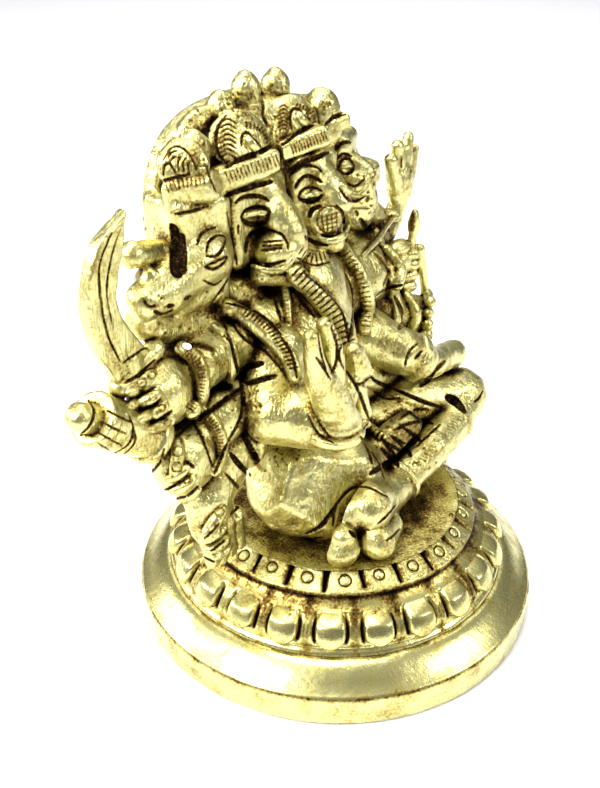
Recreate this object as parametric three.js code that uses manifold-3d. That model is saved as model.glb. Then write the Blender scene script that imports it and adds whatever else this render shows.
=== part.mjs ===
// Five-headed, ten-armed seated monkey deity, a small polished brass idol.
// Two castings: the figure with its halo plate and seat disc, and the round lotus plinth.
// Millimetres, +Z up, the figure looks along -Y, its right side is -X.
// The origin is the centre of the plinth's flat underside.

import * as THREE from 'three';
import { mergeVertices } from 'three/addons/utils/BufferGeometryUtils.js';
import Module from 'manifold-3d';

const wasm = await Module();
wasm.setup();

// Plinth: a plain round foot, a polished shoulder and one tier of lotus petals
const FOOT = { radius: 33, bandTop: 4.6, bevel: 0.5, shoulderRadius: 28.6, shoulderZ: 7.9 };
const PETALS = {
  count: 24,
  firstDegrees: 4.8,
  footRadius: 27.6,
  footZ: 8.5,
  lowRadius: 24.4,
  lowZ: 11.6,
  lowBulge: 3.4,
  topRadius: 21,
  topBulge: 3,
};
const PLINTH_TOP_Z = 15.2;
const PLINTH_TOP_RADIUS = 22.2;
const PETAL_CORE_INSET = 1.6;

// Seat disc, cast with the figure: a bevelled rim with bars and small discs in turn
const SEAT = {
  lowRadius: 22.9,
  lipZ: 15.7,
  topRadius: 19.3,
  topZ: 17.6,
  marks: 24,
  firstDegrees: 2.1,
};
const SEAT_BAR = { width: 0.9, depth: 0.45 };
const SEAT_DOT = { radius: 0.8, depth: 0.35 };

// Halo plate behind the heads
const HALO = {
  halfWidth: 23.7,
  y: 14,
  thickness: 2.8,
  edge: 0.8,
  footZ: 44,
  springZ: 66,
  topZ: 80.6,
  roundCorner: [22, 69.5, 9.5, 77.8],
  squareCorner: [-15, 81.8, -23.7, 79.7],
};

// Torso and hips as [x, y, z, radius]
const TORSO = [[-1, 4.8, 25, 10], [-2.6, 5, 36, 9.2], [-3.6, 6.2, 46, 9.2], [-3, 7.4, 53, 8.4]];
const SHOULDERS = [[-13, 7.4, 50, 6.2], [13, 7.4, 50, 6.2]];
const BACK_SLAB = { x: 15.5, y: 9, z: 42, halfDepth: 4.6, halfHeight: 20 };

// Arms on the figure's right, as chains of [x, y, z, radius]
const RIGHT_TOP_ARM = [[-13, 9, 55, 4.4], [-22, 9.4, 57, 3.6], [-27.3, 9, 60.6, 3]];
const RIGHT_SWORD_ARM = [[-14, 7, 49.5, 5], [-24.5, 6.6, 49.5, 4.5], [-30.5, 6.6, 47.6, 3.6]];
const RIGHT_MACE_ARM = [[-14, 6, 43, 4.8], [-23, 4.6, 41.5, 4.6], [-29, 4.6, 38.4, 3.8]];
const RIGHT_LOW_ARM = [[-13, 6, 36.5, 4.8], [-21.5, 4.2, 35.5, 4.4], [-26.6, 3, 30.5, 3.7]];
const BLESSING_ARM = [[-12.5, 3.5, 47.5, 5], [-16.8, -0.8, 41, 4.7], [-12.8, -8.6, 39.6, 3.9]];
const RIGHT_WEB = [[-16, 9, 53.6, 4], [-24, 8.6, 54.6, 3.2], [-31, 8.2, 57.4, 2.6]];

// The raised palm, turned edge on: two pairs of fingers, the palm, the thumb's tip and its ball
const BLESSING_HAND = [
  [[-19.3, -9.4, 55.8, 1.3], [-18.7, -9.4, 52.7, 1.5], [-17.3, -9.4, 48.4, 1.9]],
  [[-16.6, -9.4, 56.6, 1.2], [-15.1, -9.4, 53.2, 1.4], [-14.5, -9.4, 48.1, 1.8]],
  [[-16.7, -9.4, 48.1, 2.2], [-14.3, -9.4, 43.7, 2.8], [-11.8, -9.4, 39.5, 2.7]],
  [[-9.7, -9.4, 50, 1.4], [-8.6, -9.4, 47.1, 1.8]],
  [[-8.9, -9.4, 44.5, 1.6], [-6.9, -9.4, 39.5, 1.5]],
];
const THUMB_WEB = [[-9, -9.4, 46.6, 1.4], [-12.6, -9.4, 42.4, 2]];

// Arms on the figure's left, and palms as [x, y, z, half width, half depth, half height]
const LEFT_TOP_ARM = [
  [13, 9, 53, 4.4],
  [21.5, 9.2, 52.8, 3.4],
  [27.8, 8.9, 55.4, 2.1],
  [29, 8.6, 58.8, 1.8],
];
const LEFT_SECOND_ARM = [[14, 7, 47.4, 4.6], [20, 6.2, 48.2, 3.9], [23.2, 5.4, 49.6, 3.1]];
const LEFT_THIRD_ARM = [[14, 6, 43.2, 4.4], [19.4, 4.4, 41.8, 3.6], [24.4, 2.6, 40.4, 3]];
const LEFT_REST_ARM = [
  [11, 3, 41.5, 4.8],
  [13.6, -2.6, 38.8, 3.7],
  [16.6, -4.4, 36.9, 3.3],
  [18.4, -4.8, 36, 2.6],
  [23.5, -5, 34.4, 2.4],
  [26.6, -4.7, 33.6, 2.4],
];
const LEFT_LOW_ARM = [[13, 8, 36.5, 4.6], [21, 9, 33.5, 4], [25.5, 8.6, 28.5, 3.2]];
const LEFT_PALM = [29, 8.6, 61.4, 3.5, 1.9, 4];
const LEFT_PALM_FINGERS = [
  [[26.8, 8.2, 61, 1.4], [24.8, 8, 66, 1.1]],
  [[28, 8.6, 63, 1.4], [27.6, 8.6, 67.6, 1]],
  [[30, 8.6, 63.2, 1.4], [30.9, 8.6, 68.6, 0.8]],
  [[31.4, 8.6, 62.6, 1.3], [32.6, 8.4, 66.2, 0.8]],
];
const SECOND_PALM = [23.2, 5, 49.6, 2.9, 2.4, 3.6];
const KNEE_PALMS = [[27.2, -4.8, 33.4, 3.2, 2.4, 2.4], [19.6, -5.8, 35.2, 3, 2.3, 2.4]];
const STACKED_FINGERS = { from: [23.3, 4.2], to: [25.6, 2.8], topZ: 51.3, step: 1.95, radius: 1.05 };

// Legs: the left shin lies across the front, the right knee points out and the foot tucks in
const LEFT_THIGH = [[7, 2, 25.5, 6.6], [20, -2.5, 26.6, 5.4], [27.8, -6.6, 25.9, 4.9]];
const LEFT_SHIN = [
  [28, -7, 25.2, 4.6],
  [21.6, -9.2, 24, 3.5],
  [13, -10.4, 23.6, 3.1],
  [1.5, -10.6, 22.2, 2.9],
];
const LEFT_HEEL = [[1.5, -10.6, 22.2, 3], [-4.2, -11.2, 22.8, 3.2], [-8.2, -11.8, 24.2, 3.9]];
const LEFT_TOES = [[-9.4, -14.4, 20.4, 3], [-5.6, -13.6, 20.2, 2.6]];
const GREAT_TOE = [[-13.9, -11.2, 20.2, 2.9], [-13.8, -11.2, 22.4, 1.9]];
const LEFT_SOLE = [[-12, -7.6, 20, 2.6], [-3, -11, 20, 2.8]];
const RIGHT_THIGH = [[-7, 4, 27, 7.4], [-11.4, -0.6, 25.4, 7.4]];
const RIGHT_CALF = [[-10, -2.4, 24.8, 6.8], [-5, -4.4, 25.4, 6], [4, -4.6, 25, 4]];
const RIGHT_FOOT = [[3, -6.4, 27.2, 2.6], [10.5, -6.8, 28, 2.2]];
const LAP = [[-8, -2, 21.5, 4], [18, -5, 21.5, 3.6]];
const LEFT_FLANK = [[9, 3.4, 34, 5], [18, 3, 32.4, 4]];

// Heads: [x, y, z] of each skull, the way it looks in degrees from -Y, and its size
const HEADS = [
  { x: -20.4, y: 10, z: 65.6, turn: -88, skull: 4.6, snout: 6, drop: 4, snoutEnd: 3 },
  { x: -10.4, y: 9.6, z: 66.2, turn: -34, skull: 5.3, snout: 5.2, drop: 3, snoutEnd: 3.1 },
  { x: -0.9, y: 8.6, z: 67.8, turn: 2, skull: 5.2, snout: 5.8, drop: 3.6, snoutEnd: 2.9 },
  { x: 7.6, y: 8.6, z: 68, turn: 42, skull: 4.6, snout: 5, drop: 3, snoutEnd: 2.6 },
  { x: 16, y: 9.6, z: 60.6, turn: 84, skull: 4.4, snout: 7, drop: 4, snoutEnd: 2.2 },
];
const CHIN_DROP = 7.2;
const CHIN_RADIUS = 2.3;
const BOAR_SNOUT = [[-20.6, 8, 63, 4.4], [-27.6, 7.4, 60.9, 3.2], [-31.4, 7.2, 60.4, 2.5]];
const BOAR_JAW = [[-20.4, 7.4, 59.6, 3], [-26.4, 7.2, 58.2, 2]];
const FACE_EDGE = 0.9;

// Square faces and the headbands over them, with half sizes; turned about z after rolling about y
const FACES = [
  { centre: [-20.4, 10.2, 65.6], half: [4.4, 4.4, 5.6], turn: -8, roll: 0 },
  { centre: [-10.4, 10, 65.6], half: [5.6, 4.6, 6.2], turn: -6, roll: 0 },
  { centre: [0.6, 9, 67], half: [5, 4.6, 6], turn: 0, roll: 0 },
  { centre: [8.6, 9.4, 68.2], half: [4, 4.4, 5.8], turn: 24, roll: 0 },
];
const BANDS = [
  { centre: [-20.5, 8.4, 72.3], half: [3.2, 3.6, 1.5], turn: -56, roll: -10 },
  { centre: [-12.6, 8, 73], half: [5.3, 3, 1.65], turn: -12.5, roll: -6 },
  { centre: [-1.8, 7, 74.5], half: [3.8, 3.4, 1.45], turn: -23, roll: -12.5 },
  { centre: [6.6, 7.4, 75.6], half: [2.1, 3.2, 1.1], turn: -22, roll: -15 },
];
const FAR_BAND = { x: 16, y: 9.6, lowZ: 64.2, highZ: 67.4, radius: 4.5 };

// Leaf-shaped plates above the bands, leaned back
const CROWN_PLATES = [
  { centre: [-22.2, 8.4, 75.4], half: [3.3, 1.4, 2.9], turn: -46 },
  { centre: [-12.6, 7.6, 76.4], half: [4.7, 1.5, 3.8], turn: -14 },
  { centre: [-2, 7.4, 77.2], half: [4.1, 1.5, 3.4], turn: -20 },
];
const PLATE_LEAN = -28;
const CROWN = { x: -3.4, y: 10.4, z: 71.4, halfWidth: 18.4, halfDepth: 4.4, halfHeight: 8.8 };
const KNOBS = [
  [-6.8, 11.2, 81.7, 1.8],
  [-0.6, 11.2, 81.3, 1.8],
  [5, 7.6, 78, 2.4],
  [-12, 11.2, 80.6, 1.5],
  [-18.6, 9.6, 77, 1.6],
];

// What the hands hold
const SWORD = { y: 6.2, thickness: 1.9 };
const SWORD_BACK = [[-38.4, 52.4], [-40.9, 58], [-41.4, 64], [-39.3, 69.6], [-34.2, 73]];
const SWORD_EDGE = [[-35.2, 69.4], [-37, 64], [-36, 59.6], [-32.6, 54.6]];
const SWORD_GRIP = [[-35.4, 6.4, 54.4, 1.7], [-30.5, 6.6, 42.4, 1.6]];
const GUARD = [[-37.6, 6.2, 51.4, 1.4], [-31.4, 6.3, 54.2, 1.4]];
const CLUB_STUB = [[-31.4, 8.6, 66.2, 1.9], [-25.6, 9.8, 64.6, 1.7]];
const MACE = {
  hand: [-28.6, 4.8, 38.4],
  drumStart: [-35, 5, 43.6],
  drumEnd: [-42.4, 5, 49.5],
  radius: 3.4,
};
const MACE_NECK_RADIUS = 2.3;
const MACE_BALL = [-44.9, 5, 51.2, 2];
const FLUTES = 7;
const FLUTE_RADIUS = 0.55;
const LEFT_ROD = [[26.8, 2, 51.8, 1], [29.6, 1.6, 40.4, 1]];
const ROD_LEAF = [[25.8, 3.2, 58, 0.8], [26.2, 3, 53, 1.3]];
const TRIDENT_ROD = [[9.4, 2.4, 55.4, 0.7], [25.2, 7.2, 56.4, 0.7]];

// Round cast ropes that hang over the chest, as [x, y, z] along each
const ROPE_RADIUS = 1.35;
const ROPES = [
  [[-18.4, 6, 56.4], [-17, 2, 52.6], [-14, -1.6, 46.6], [-11.6, -3, 42]],
  [[-9.2, 1, 60], [-7.4, -1.6, 55.6], [-5.4, -3.2, 50], [-4, -3.8, 44]],
  [[2, 1.4, 60.4], [5.6, 0, 55], [6, -0.6, 50], [2.6, -2.8, 44]],
];
const COLLAR = { x: -3, y: 5, z: 59, width: 9, depth: 5.4, radius: 1.5 };
const BELT = { x: -2, z: 31.4, y: 5, halfWidth: 10.4, halfDepth: 9.6, radius: 1.4 };

// Triangles that each casting keeps once its small facets are merged
const FIGURE_TRIANGLES = 7400;
const PLINTH_TRIANGLES = 2200;
const SHORTEST_EDGE = 0.04;
const TOUCH_GAP = 0.03;

// Colours from the polished brass
const BRASS = { color: 0xcfc47a, roughness: 0.3, metalness: 1 };
const BRASS_PLINTH = { color: 0xd6cd86, roughness: 0.22, metalness: 1 };

const vec = ([x, y, z]) => new THREE.Vector3(x, y, z);
const mix = (a, b, t) => a.map((value, i) => value + (b[i] - value) * t);

// A closed solid from a geometry: only positions are kept, and slivers without area are dropped
function toSolid(source) {
  const plain = source.index ? source.toNonIndexed() : source.clone();
  plain.deleteAttribute('normal');
  plain.deleteAttribute('uv');
  const merged = mergeVertices(plain, 1e-4);
  const position = merged.getAttribute('position');
  const index = merged.index.array;
  const corners = [];
  let volume = 0;
  const [a, b, c] = [new THREE.Vector3(), new THREE.Vector3(), new THREE.Vector3()];
  for (let i = 0; i < index.length; i += 3) {
    const [p, q, r] = [index[i], index[i + 1], index[i + 2]];
    if (p === q || q === r || p === r) continue;
    corners.push(p, q, r);
    a.fromBufferAttribute(position, p);
    b.fromBufferAttribute(position, q);
    c.fromBufferAttribute(position, r);
    volume += a.dot(b.cross(c));
  }
  if (volume < 0) corners.reverse();
  return new wasm.Manifold(new wasm.Mesh({
    numProp: 3,
    vertProperties: new Float32Array(position.array),
    triVerts: new Uint32Array(corners),
  }));
}

// Adds solids two by two, so that each join stays small
function join(solids) {
  let layer = solids;
  while (layer.length > 1) {
    const next = [];
    for (let i = 0; i < layer.length; i += 2) {
      next.push(i + 1 < layer.length ? layer[i].add(layer[i + 1]) : layer[i]);
    }
    layer = next;
  }
  return layer[0];
}

// A limb's length between two points, round at both ends and tapered between
function taper([ax, ay, az, ra], [bx, by, bz, rb], sides = 7, steps = Math.max(ra, rb) > 3.4 ? 2 : 1) {
  const start = new THREE.Vector3(ax, ay, az);
  const along = new THREE.Vector3(bx, by, bz).sub(start);
  const length = along.length();
  const lean = Math.asin(THREE.MathUtils.clamp((ra - rb) / length, -0.95, 0.95));
  const profile = [];
  for (let i = 0; i <= steps; i += 1) {
    const angle = -Math.PI / 2 + (i / steps) * (lean + Math.PI / 2);
    profile.push(new THREE.Vector2(i ? ra * Math.cos(angle) : 0, ra * Math.sin(angle)));
  }
  for (let i = 0; i <= steps; i += 1) {
    const angle = lean + (i / steps) * (Math.PI / 2 - lean);
    profile.push(new THREE.Vector2(i < steps ? rb * Math.cos(angle) : 0, length + rb * Math.sin(angle)));
  }
  const geometry = new THREE.LatheGeometry(profile, sides);
  geometry.applyQuaternion(
    new THREE.Quaternion().setFromUnitVectors(new THREE.Vector3(0, 1, 0), along.normalize()),
  );
  geometry.translate(ax, ay, az);
  return toSolid(geometry);
}

function chain(points, sides) {
  return points.slice(1).map((point, i) => taper(points[i], point, sides));
}

// An egg shape with its own half sizes, turned about Z and then leaned about X
function egg(x, y, z, halfX, halfY, halfZ, turn = 0, lean = 0, sides = 8, rings = 5) {
  const geometry = new THREE.SphereGeometry(1, sides, rings);
  geometry.rotateX(Math.PI / 2);
  geometry.scale(halfX, halfY, halfZ);
  geometry.rotateX(lean);
  geometry.rotateZ(turn);
  geometry.translate(x, y, z);
  return toSolid(geometry);
}

// A block with bevelled long edges, rolled about Y and then turned about Z, in degrees
function block({ centre, half, turn, roll }, edge = 0.5) {
  const [x, y, z] = half;
  const shape = new THREE.Shape();
  shape.moveTo(-x + edge, -z);
  for (const [px, pz] of [[x - edge, -z], [x, -z + edge], [x, z - edge], [x - edge, z]]) {
    shape.lineTo(px, pz);
  }
  for (const [px, pz] of [[-x + edge, z], [-x, z - edge], [-x, -z + edge]]) shape.lineTo(px, pz);
  shape.closePath();
  const geometry = new THREE.ExtrudeGeometry(shape, { depth: 2 * y, bevelEnabled: false });
  geometry.translate(0, 0, -y);
  geometry.rotateX(Math.PI / 2);
  geometry.rotateY(THREE.MathUtils.degToRad(roll));
  geometry.rotateZ(THREE.MathUtils.degToRad(turn));
  geometry.translate(...centre);
  return toSolid(geometry);
}

function lathe(profile, segments) {
  const geometry = new THREE.LatheGeometry(profile.map(([r, z]) => new THREE.Vector2(r, z)), segments);
  geometry.rotateX(Math.PI / 2);
  return toSolid(geometry);
}

// A plate in the XZ plane, from its outline to its thickness about y
function plate(shape, y, thickness, bevel = 0, curveSegments = 10) {
  const geometry = new THREE.ExtrudeGeometry(shape, {
    depth: thickness - 2 * bevel,
    bevelEnabled: bevel > 0,
    bevelSize: bevel,
    bevelThickness: bevel,
    bevelOffset: -bevel,
    bevelSegments: 1,
    curveSegments,
  });
  geometry.translate(0, 0, -(thickness - 2 * bevel) / 2);
  geometry.rotateX(Math.PI / 2);
  geometry.translate(0, y, 0);
  return toSolid(geometry);
}

// A round bar along a smooth path
function bar(points, radius, steps, closed = false, sides = 3) {
  const curve = new THREE.CatmullRomCurve3(points.map(vec), closed);
  const section = new THREE.Shape();
  section.absarc(0, 0, radius, 0, Math.PI * 2);
  return toSolid(new THREE.ExtrudeGeometry(section, {
    steps,
    extrudePath: curve,
    bevelEnabled: false,
    curveSegments: sides,
  }));
}

// A ring round a limb at a share of the way along it
function armlet(limb, share, proud = 0.7, width = 1.5) {
  const [from, to] = limb;
  const centre = mix(from, to, share);
  const span = Math.hypot(to[0] - from[0], to[1] - from[1], to[2] - from[2]);
  const half = width / span / 2;
  const low = mix(from, to, share - half);
  const high = mix(from, to, share + half);
  const axis = vec(high).sub(vec(low));
  const geometry = new THREE.CylinderGeometry(centre[3] + proud, centre[3] + proud, axis.length(), 9);
  geometry.applyQuaternion(
    new THREE.Quaternion().setFromUnitVectors(new THREE.Vector3(0, 1, 0), axis.normalize()),
  );
  geometry.translate(centre[0], centre[1], centre[2]);
  return toSolid(geometry);
}

// A closed hand: a palm with four fingers side by side up the bar that it grips
function fist([x, y, z], size, gripDirection, frontDirection) {
  const grip = vec(gripDirection).normalize();
  const front = vec(frontDirection).normalize();
  const across = grip.clone().cross(front).normalize();
  const centre = new THREE.Vector3(x, y, z);
  const fingerRadius = size * 0.33;
  const solids = [egg(x, y, z, size, size * 0.8, size * 1.05, 0, 0, 7, 4)];
  for (let finger = 0; finger < 4; finger += 1) {
    const middle = centre.clone()
      .addScaledVector(grip, (finger - 1.5) * fingerRadius * 1.75)
      .addScaledVector(front, size * 0.72);
    const start = middle.clone().addScaledVector(across, -size * 0.62);
    const end = middle.clone().addScaledVector(across, size * 0.62);
    solids.push(taper([...start.toArray(), fingerRadius], [...end.toArray(), fingerRadius * 0.9], 5));
  }
  return solids;
}

function makePlinth() {
  const body = lathe([
    [0, 0], [FOOT.radius - FOOT.bevel, 0], [FOOT.radius, FOOT.bevel], [FOOT.radius, FOOT.bandTop],
    [FOOT.radius - FOOT.bevel, FOOT.bandTop + FOOT.bevel],
    [FOOT.shoulderRadius + 2.2, FOOT.shoulderZ - 0.9], [FOOT.shoulderRadius, FOOT.shoulderZ],
    [PETALS.footRadius - PETAL_CORE_INSET, FOOT.shoulderZ],
    [PETALS.footRadius - PETAL_CORE_INSET, PETALS.footZ],
    [PLINTH_TOP_RADIUS, PLINTH_TOP_Z - 0.6], [PLINTH_TOP_RADIUS, PLINTH_TOP_Z], [0, PLINTH_TOP_Z],
  ], 44);
  const roof = plate(square(2 * FOOT.radius, PLINTH_TOP_Z, 2 * PLINTH_TOP_Z), 0, 2 * FOOT.radius);
  const petals = [];
  for (let i = 0; i < PETALS.count; i += 1) {
    const angle = (i / PETALS.count) * Math.PI * 2 + THREE.MathUtils.degToRad(PETALS.firstDegrees);
    const [c, d] = [Math.cos(angle), Math.sin(angle)];
    petals.push(taper(
      [PETALS.lowRadius * c, PETALS.lowRadius * d, PETALS.lowZ, PETALS.lowBulge],
      [PETALS.topRadius * c, PETALS.topRadius * d, PLINTH_TOP_Z + 0.6, PETALS.topBulge],
      8,
      2,
    ).subtract(roof));
  }
  return body.add(join(petals));
}

// A rectangle centred on x, from one height to another
function square(width, low, high) {
  const shape = new THREE.Shape();
  shape.moveTo(-width / 2, low);
  shape.lineTo(width / 2, low);
  shape.lineTo(width / 2, high);
  shape.lineTo(-width / 2, high);
  shape.closePath();
  return shape;
}

function makeSeat() {
  const disc = lathe([
    [0, PLINTH_TOP_Z], [SEAT.lowRadius, PLINTH_TOP_Z], [SEAT.lowRadius, SEAT.lipZ],
    [SEAT.topRadius, SEAT.topZ], [0, SEAT.topZ],
  ], 44);
  const run = SEAT.lowRadius - SEAT.topRadius;
  const climb = SEAT.topZ - SEAT.lipZ;
  const slope = Math.atan2(run, climb);
  const middleRadius = (SEAT.lowRadius + SEAT.topRadius) / 2;
  const middleZ = (SEAT.lipZ + SEAT.topZ) / 2;
  const cuts = [];
  for (let i = 0; i < SEAT.marks; i += 1) {
    const angle = (i / SEAT.marks) * Math.PI * 2 + THREE.MathUtils.degToRad(SEAT.firstDegrees);
    const groove = new THREE.BoxGeometry(SEAT_BAR.width, 2 * SEAT_BAR.depth, Math.hypot(run, climb) * 0.82);
    groove.rotateX(-slope);
    groove.translate(0, -middleRadius, middleZ);
    groove.rotateZ(angle);
    cuts.push(toSolid(groove));
    const dot = new THREE.CylinderGeometry(SEAT_DOT.radius, SEAT_DOT.radius, 2 * SEAT_DOT.depth, 6);
    dot.rotateX(-slope);
    dot.translate(0, -middleRadius, middleZ);
    dot.rotateZ(angle + Math.PI / SEAT.marks);
    cuts.push(toSolid(dot));
  }
  return disc.subtract(join(cuts));
}

function makeHalo() {
  const shape = new THREE.Shape();
  const { footZ, springZ, topZ, halfWidth: half } = HALO;
  shape.moveTo(-half * 0.72, footZ);
  shape.lineTo(half * 0.72, footZ);
  shape.bezierCurveTo(half * 0.95, footZ + 9, half, springZ - 6, half, springZ);
  shape.bezierCurveTo(...HALO.roundCorner, 0, topZ);
  shape.bezierCurveTo(...HALO.squareCorner, -half, springZ);
  shape.bezierCurveTo(-half, springZ - 6, -half * 0.95, footZ + 9, -half * 0.72, footZ);
  return plate(shape, HALO.y, HALO.thickness, HALO.edge, 5);
}

function makeTorso() {
  const solids = [...chain(TORSO, 10), ...chain(SHOULDERS, 8)];
  solids.push(egg(0, BACK_SLAB.y, BACK_SLAB.z, BACK_SLAB.x, BACK_SLAB.halfDepth, BACK_SLAB.halfHeight));
  for (const rope of ROPES) solids.push(bar(rope, ROPE_RADIUS, 7));
  const around = (ring, z, count) => Array.from({ length: count }, (_, i) => {
    const angle = (i / count) * Math.PI * 2;
    return [ring.x + ring.halfWidth * Math.cos(angle), ring.y + ring.halfDepth * Math.sin(angle), z];
  });
  solids.push(bar(around(BELT, BELT.z, 10), BELT.radius, 14, true));
  const collar = { x: COLLAR.x, halfWidth: COLLAR.width, y: COLLAR.y, halfDepth: COLLAR.depth };
  solids.push(bar(around(collar, COLLAR.z, 8), COLLAR.radius, 12, true));
  return solids;
}

// One head: skull, muzzle, chin, two brows and the bridge of the nose
function makeHead({ x, y, z, turn, skull, snout, drop, snoutEnd }) {
  const angle = THREE.MathUtils.degToRad(turn);
  const [fx, fy] = [Math.sin(angle), -Math.cos(angle)];
  const [sx, sy] = [Math.cos(angle), Math.sin(angle)];
  const at = (forward, side, up) => [x + fx * forward + sx * side, y + fy * forward + sy * side, z + up];
  return [
    egg(x, y, z, skull * 0.98, skull, skull * 1.15, angle),
    taper([...at(skull * 0.4, 0, -drop * 0.35), skull * 0.72], [...at(snout, 0, -drop), snoutEnd]),
    taper([...at(1.4, 0, -CHIN_DROP * 0.5), 3.6], [...at(snout * 0.55 + 0.6, 0, -CHIN_DROP), CHIN_RADIUS]),
    taper([...at(skull * 0.84, -2.6, 1.9), 1.1], [...at(skull * 0.92, -0.5, 1.2), 1.1], 5),
    taper([...at(skull * 0.92, 0.5, 1.2), 1.1], [...at(skull * 0.84, 2.6, 1.9), 1.1], 5),
    taper([...at(skull * 0.8, 0, 0.8), 1.1], [...at(snout * 0.92, 0, -drop + snoutEnd * 0.6), 1.3], 5),
  ];
}

function makeHeads() {
  const { x, y, lowZ, highZ, radius } = FAR_BAND;
  const farBand = lathe([[0, lowZ], [radius, lowZ], [radius, highZ], [0, highZ]], 10);
  return [
    ...HEADS.flatMap(makeHead),
    ...FACES.map((face) => block(face, FACE_EDGE)),
    ...BANDS.map((band) => block(band)),
    ...chain(BOAR_SNOUT),
    ...chain(BOAR_JAW),
    farBand.translate([x, y, 0]),
  ];
}

function makeCrown() {
  const solids = [egg(CROWN.x, CROWN.y, CROWN.z, CROWN.halfWidth, CROWN.halfDepth, CROWN.halfHeight)];
  for (const { centre, half, turn } of CROWN_PLATES) {
    const [turned, leaned] = [turn, PLATE_LEAN].map(THREE.MathUtils.degToRad);
    solids.push(egg(...centre, ...half, turned, leaned));
  }
  for (const [x, y, z, radius] of KNOBS) {
    solids.push(taper([x, y, z - 3.6, radius * 0.8], [x, y, z, radius], 8, 2));
  }
  return solids;
}

function makeSword() {
  const outline = new THREE.Shape();
  outline.moveTo(SWORD_BACK[0][0], SWORD_BACK[0][1]);
  outline.splineThru(SWORD_BACK.slice(1).map(([x, z]) => new THREE.Vector2(x, z)));
  outline.splineThru(SWORD_EDGE.map(([x, z]) => new THREE.Vector2(x, z)));
  outline.closePath();
  return [
    plate(outline, SWORD.y, SWORD.thickness, 0.3, 3),
    ...chain(GUARD, 8),
    ...chain(SWORD_GRIP, 8),
    ...fist([-32.2, 6.2, 48.2], 4.4, [-0.35, 0, 1], [-0.35, -1, 0]),
  ];
}

function makeMace() {
  const { hand, drumStart, drumEnd, radius } = MACE;
  const axis = vec(drumEnd).sub(vec(drumStart));
  const length = axis.length();
  axis.normalize();
  const turn = new THREE.Quaternion().setFromUnitVectors(new THREE.Vector3(0, 1, 0), axis);
  const drum = new THREE.LatheGeometry([
    [0, -1.2], [radius * 0.8, -1.2], [radius * 1.04, -0.6], [radius * 1.04, 0.6], [radius * 0.9, 1.1],
    [radius * 0.92, length - 1.4], [radius * 1.05, length - 0.8], [radius * 1.05, length + 0.3],
    [radius * 0.5, length + 1.4], [0, length + 1.6],
  ].map(([r, h]) => new THREE.Vector2(r, h)), 14);
  const flutes = [];
  for (let i = 0; i < FLUTES; i += 1) {
    const angle = (i / FLUTES) * Math.PI * 2;
    const flute = new THREE.CylinderGeometry(FLUTE_RADIUS, FLUTE_RADIUS, length - 3.4, 4);
    flute.translate(radius * 0.98 * Math.cos(angle), length / 2 - 0.2, radius * 0.98 * Math.sin(angle));
    flutes.push(toSolid(flute));
  }
  const carved = toSolid(drum).subtract(join(flutes));
  const place = new THREE.Matrix4().compose(vec(drumStart), turn, new THREE.Vector3(1, 1, 1));
  return [
    carved.transform(place.toArray()),
    taper([...hand, MACE_NECK_RADIUS], [...drumStart, MACE_NECK_RADIUS]),
    taper([...drumEnd, 1.7], MACE_BALL, 9),
    ...fist([-30.6, 4, 38], 4.5, [-0.75, 0, 0.66], [-0.4, -1, 0.1]),
  ];
}

function makeRightArms() {
  const arms = [RIGHT_TOP_ARM, RIGHT_SWORD_ARM, RIGHT_MACE_ARM, RIGHT_LOW_ARM];
  const solids = [...arms, RIGHT_WEB].flatMap((arm) => chain(arm));
  for (const arm of arms) solids.push(armlet(arm, 0.72));
  solids.push(...chain(CLUB_STUB, 8));
  solids.push(...fist([-27.6, 9, 61], 3.1, [-0.9, 0.2, 0.3], [-0.3, -1, 0]));
  solids.push(egg(-27, 2.4, 27.6, 3.9, 3, 5.4));
  for (let finger = 0; finger < 4; finger += 1) {
    const x = -29.6 + finger * 1.8;
    const tipZ = 20.4 + 0.5 * Math.abs(finger - 1.5);
    solids.push(taper([x, 1.2 - 0.3 * finger, 27, 1.35], [x + 0.9, 0.8, tipZ, 1.1], 6));
  }
  return solids;
}

function makeBlessingHand() {
  return [
    ...chain(BLESSING_ARM, 9),
    ...BLESSING_HAND.flatMap((part) => chain(part)),
    ...chain(THUMB_WEB),
    armlet([[-13.3, -8.4, 37, 4], [-13.4, -9.2, 42, 4]], 0.5, 0.5, 1.6),
  ];
}

function makeLeftArms() {
  const arms = [LEFT_TOP_ARM, LEFT_SECOND_ARM, LEFT_THIRD_ARM, LEFT_LOW_ARM];
  const solids = arms.flatMap((arm) => chain(arm));
  for (const arm of arms) solids.push(armlet(arm, 0.7));
  solids.push(...chain(LEFT_REST_ARM), armlet(LEFT_REST_ARM.slice(1), 0.8, 0.5));
  for (const palm of [LEFT_PALM, SECOND_PALM, ...KNEE_PALMS]) solids.push(egg(...palm));
  for (const finger of LEFT_PALM_FINGERS) solids.push(...chain(finger, 6));
  const { from, to, topZ, step, radius } = STACKED_FINGERS;
  for (let finger = 0; finger < 4; finger += 1) {
    const fingerZ = topZ - finger * step;
    solids.push(taper([...from, fingerZ, radius], [...to, fingerZ, radius], 6));
  }
  solids.push(...chain(LEFT_ROD, 8), ...chain(ROD_LEAF), ...chain(TRIDENT_ROD));
  solids.push(...fist([26.2, 2.2, 39.9], 2.9, [0.1, 0, 1], [0.7, -0.7, 0]));
  solids.push(...fist([26, 8.4, 27.4], 3, [0, 0, 1], [0.4, -1, 0]));
  return solids;
}

function makeLegs() {
  const limbs = [LEFT_THIGH, LEFT_SHIN, RIGHT_THIGH, RIGHT_CALF].flatMap((limb) => chain(limb, 9));
  const feet = [LEFT_HEEL, LEFT_TOES, GREAT_TOE, LEFT_SOLE, RIGHT_FOOT];
  const lower = [...feet, LAP, LEFT_FLANK].flatMap((limb) => chain(limb));
  return [...limbs, ...lower, armlet(LEFT_SHIN.slice(2), 0.86, 0.6)];
}

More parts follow.
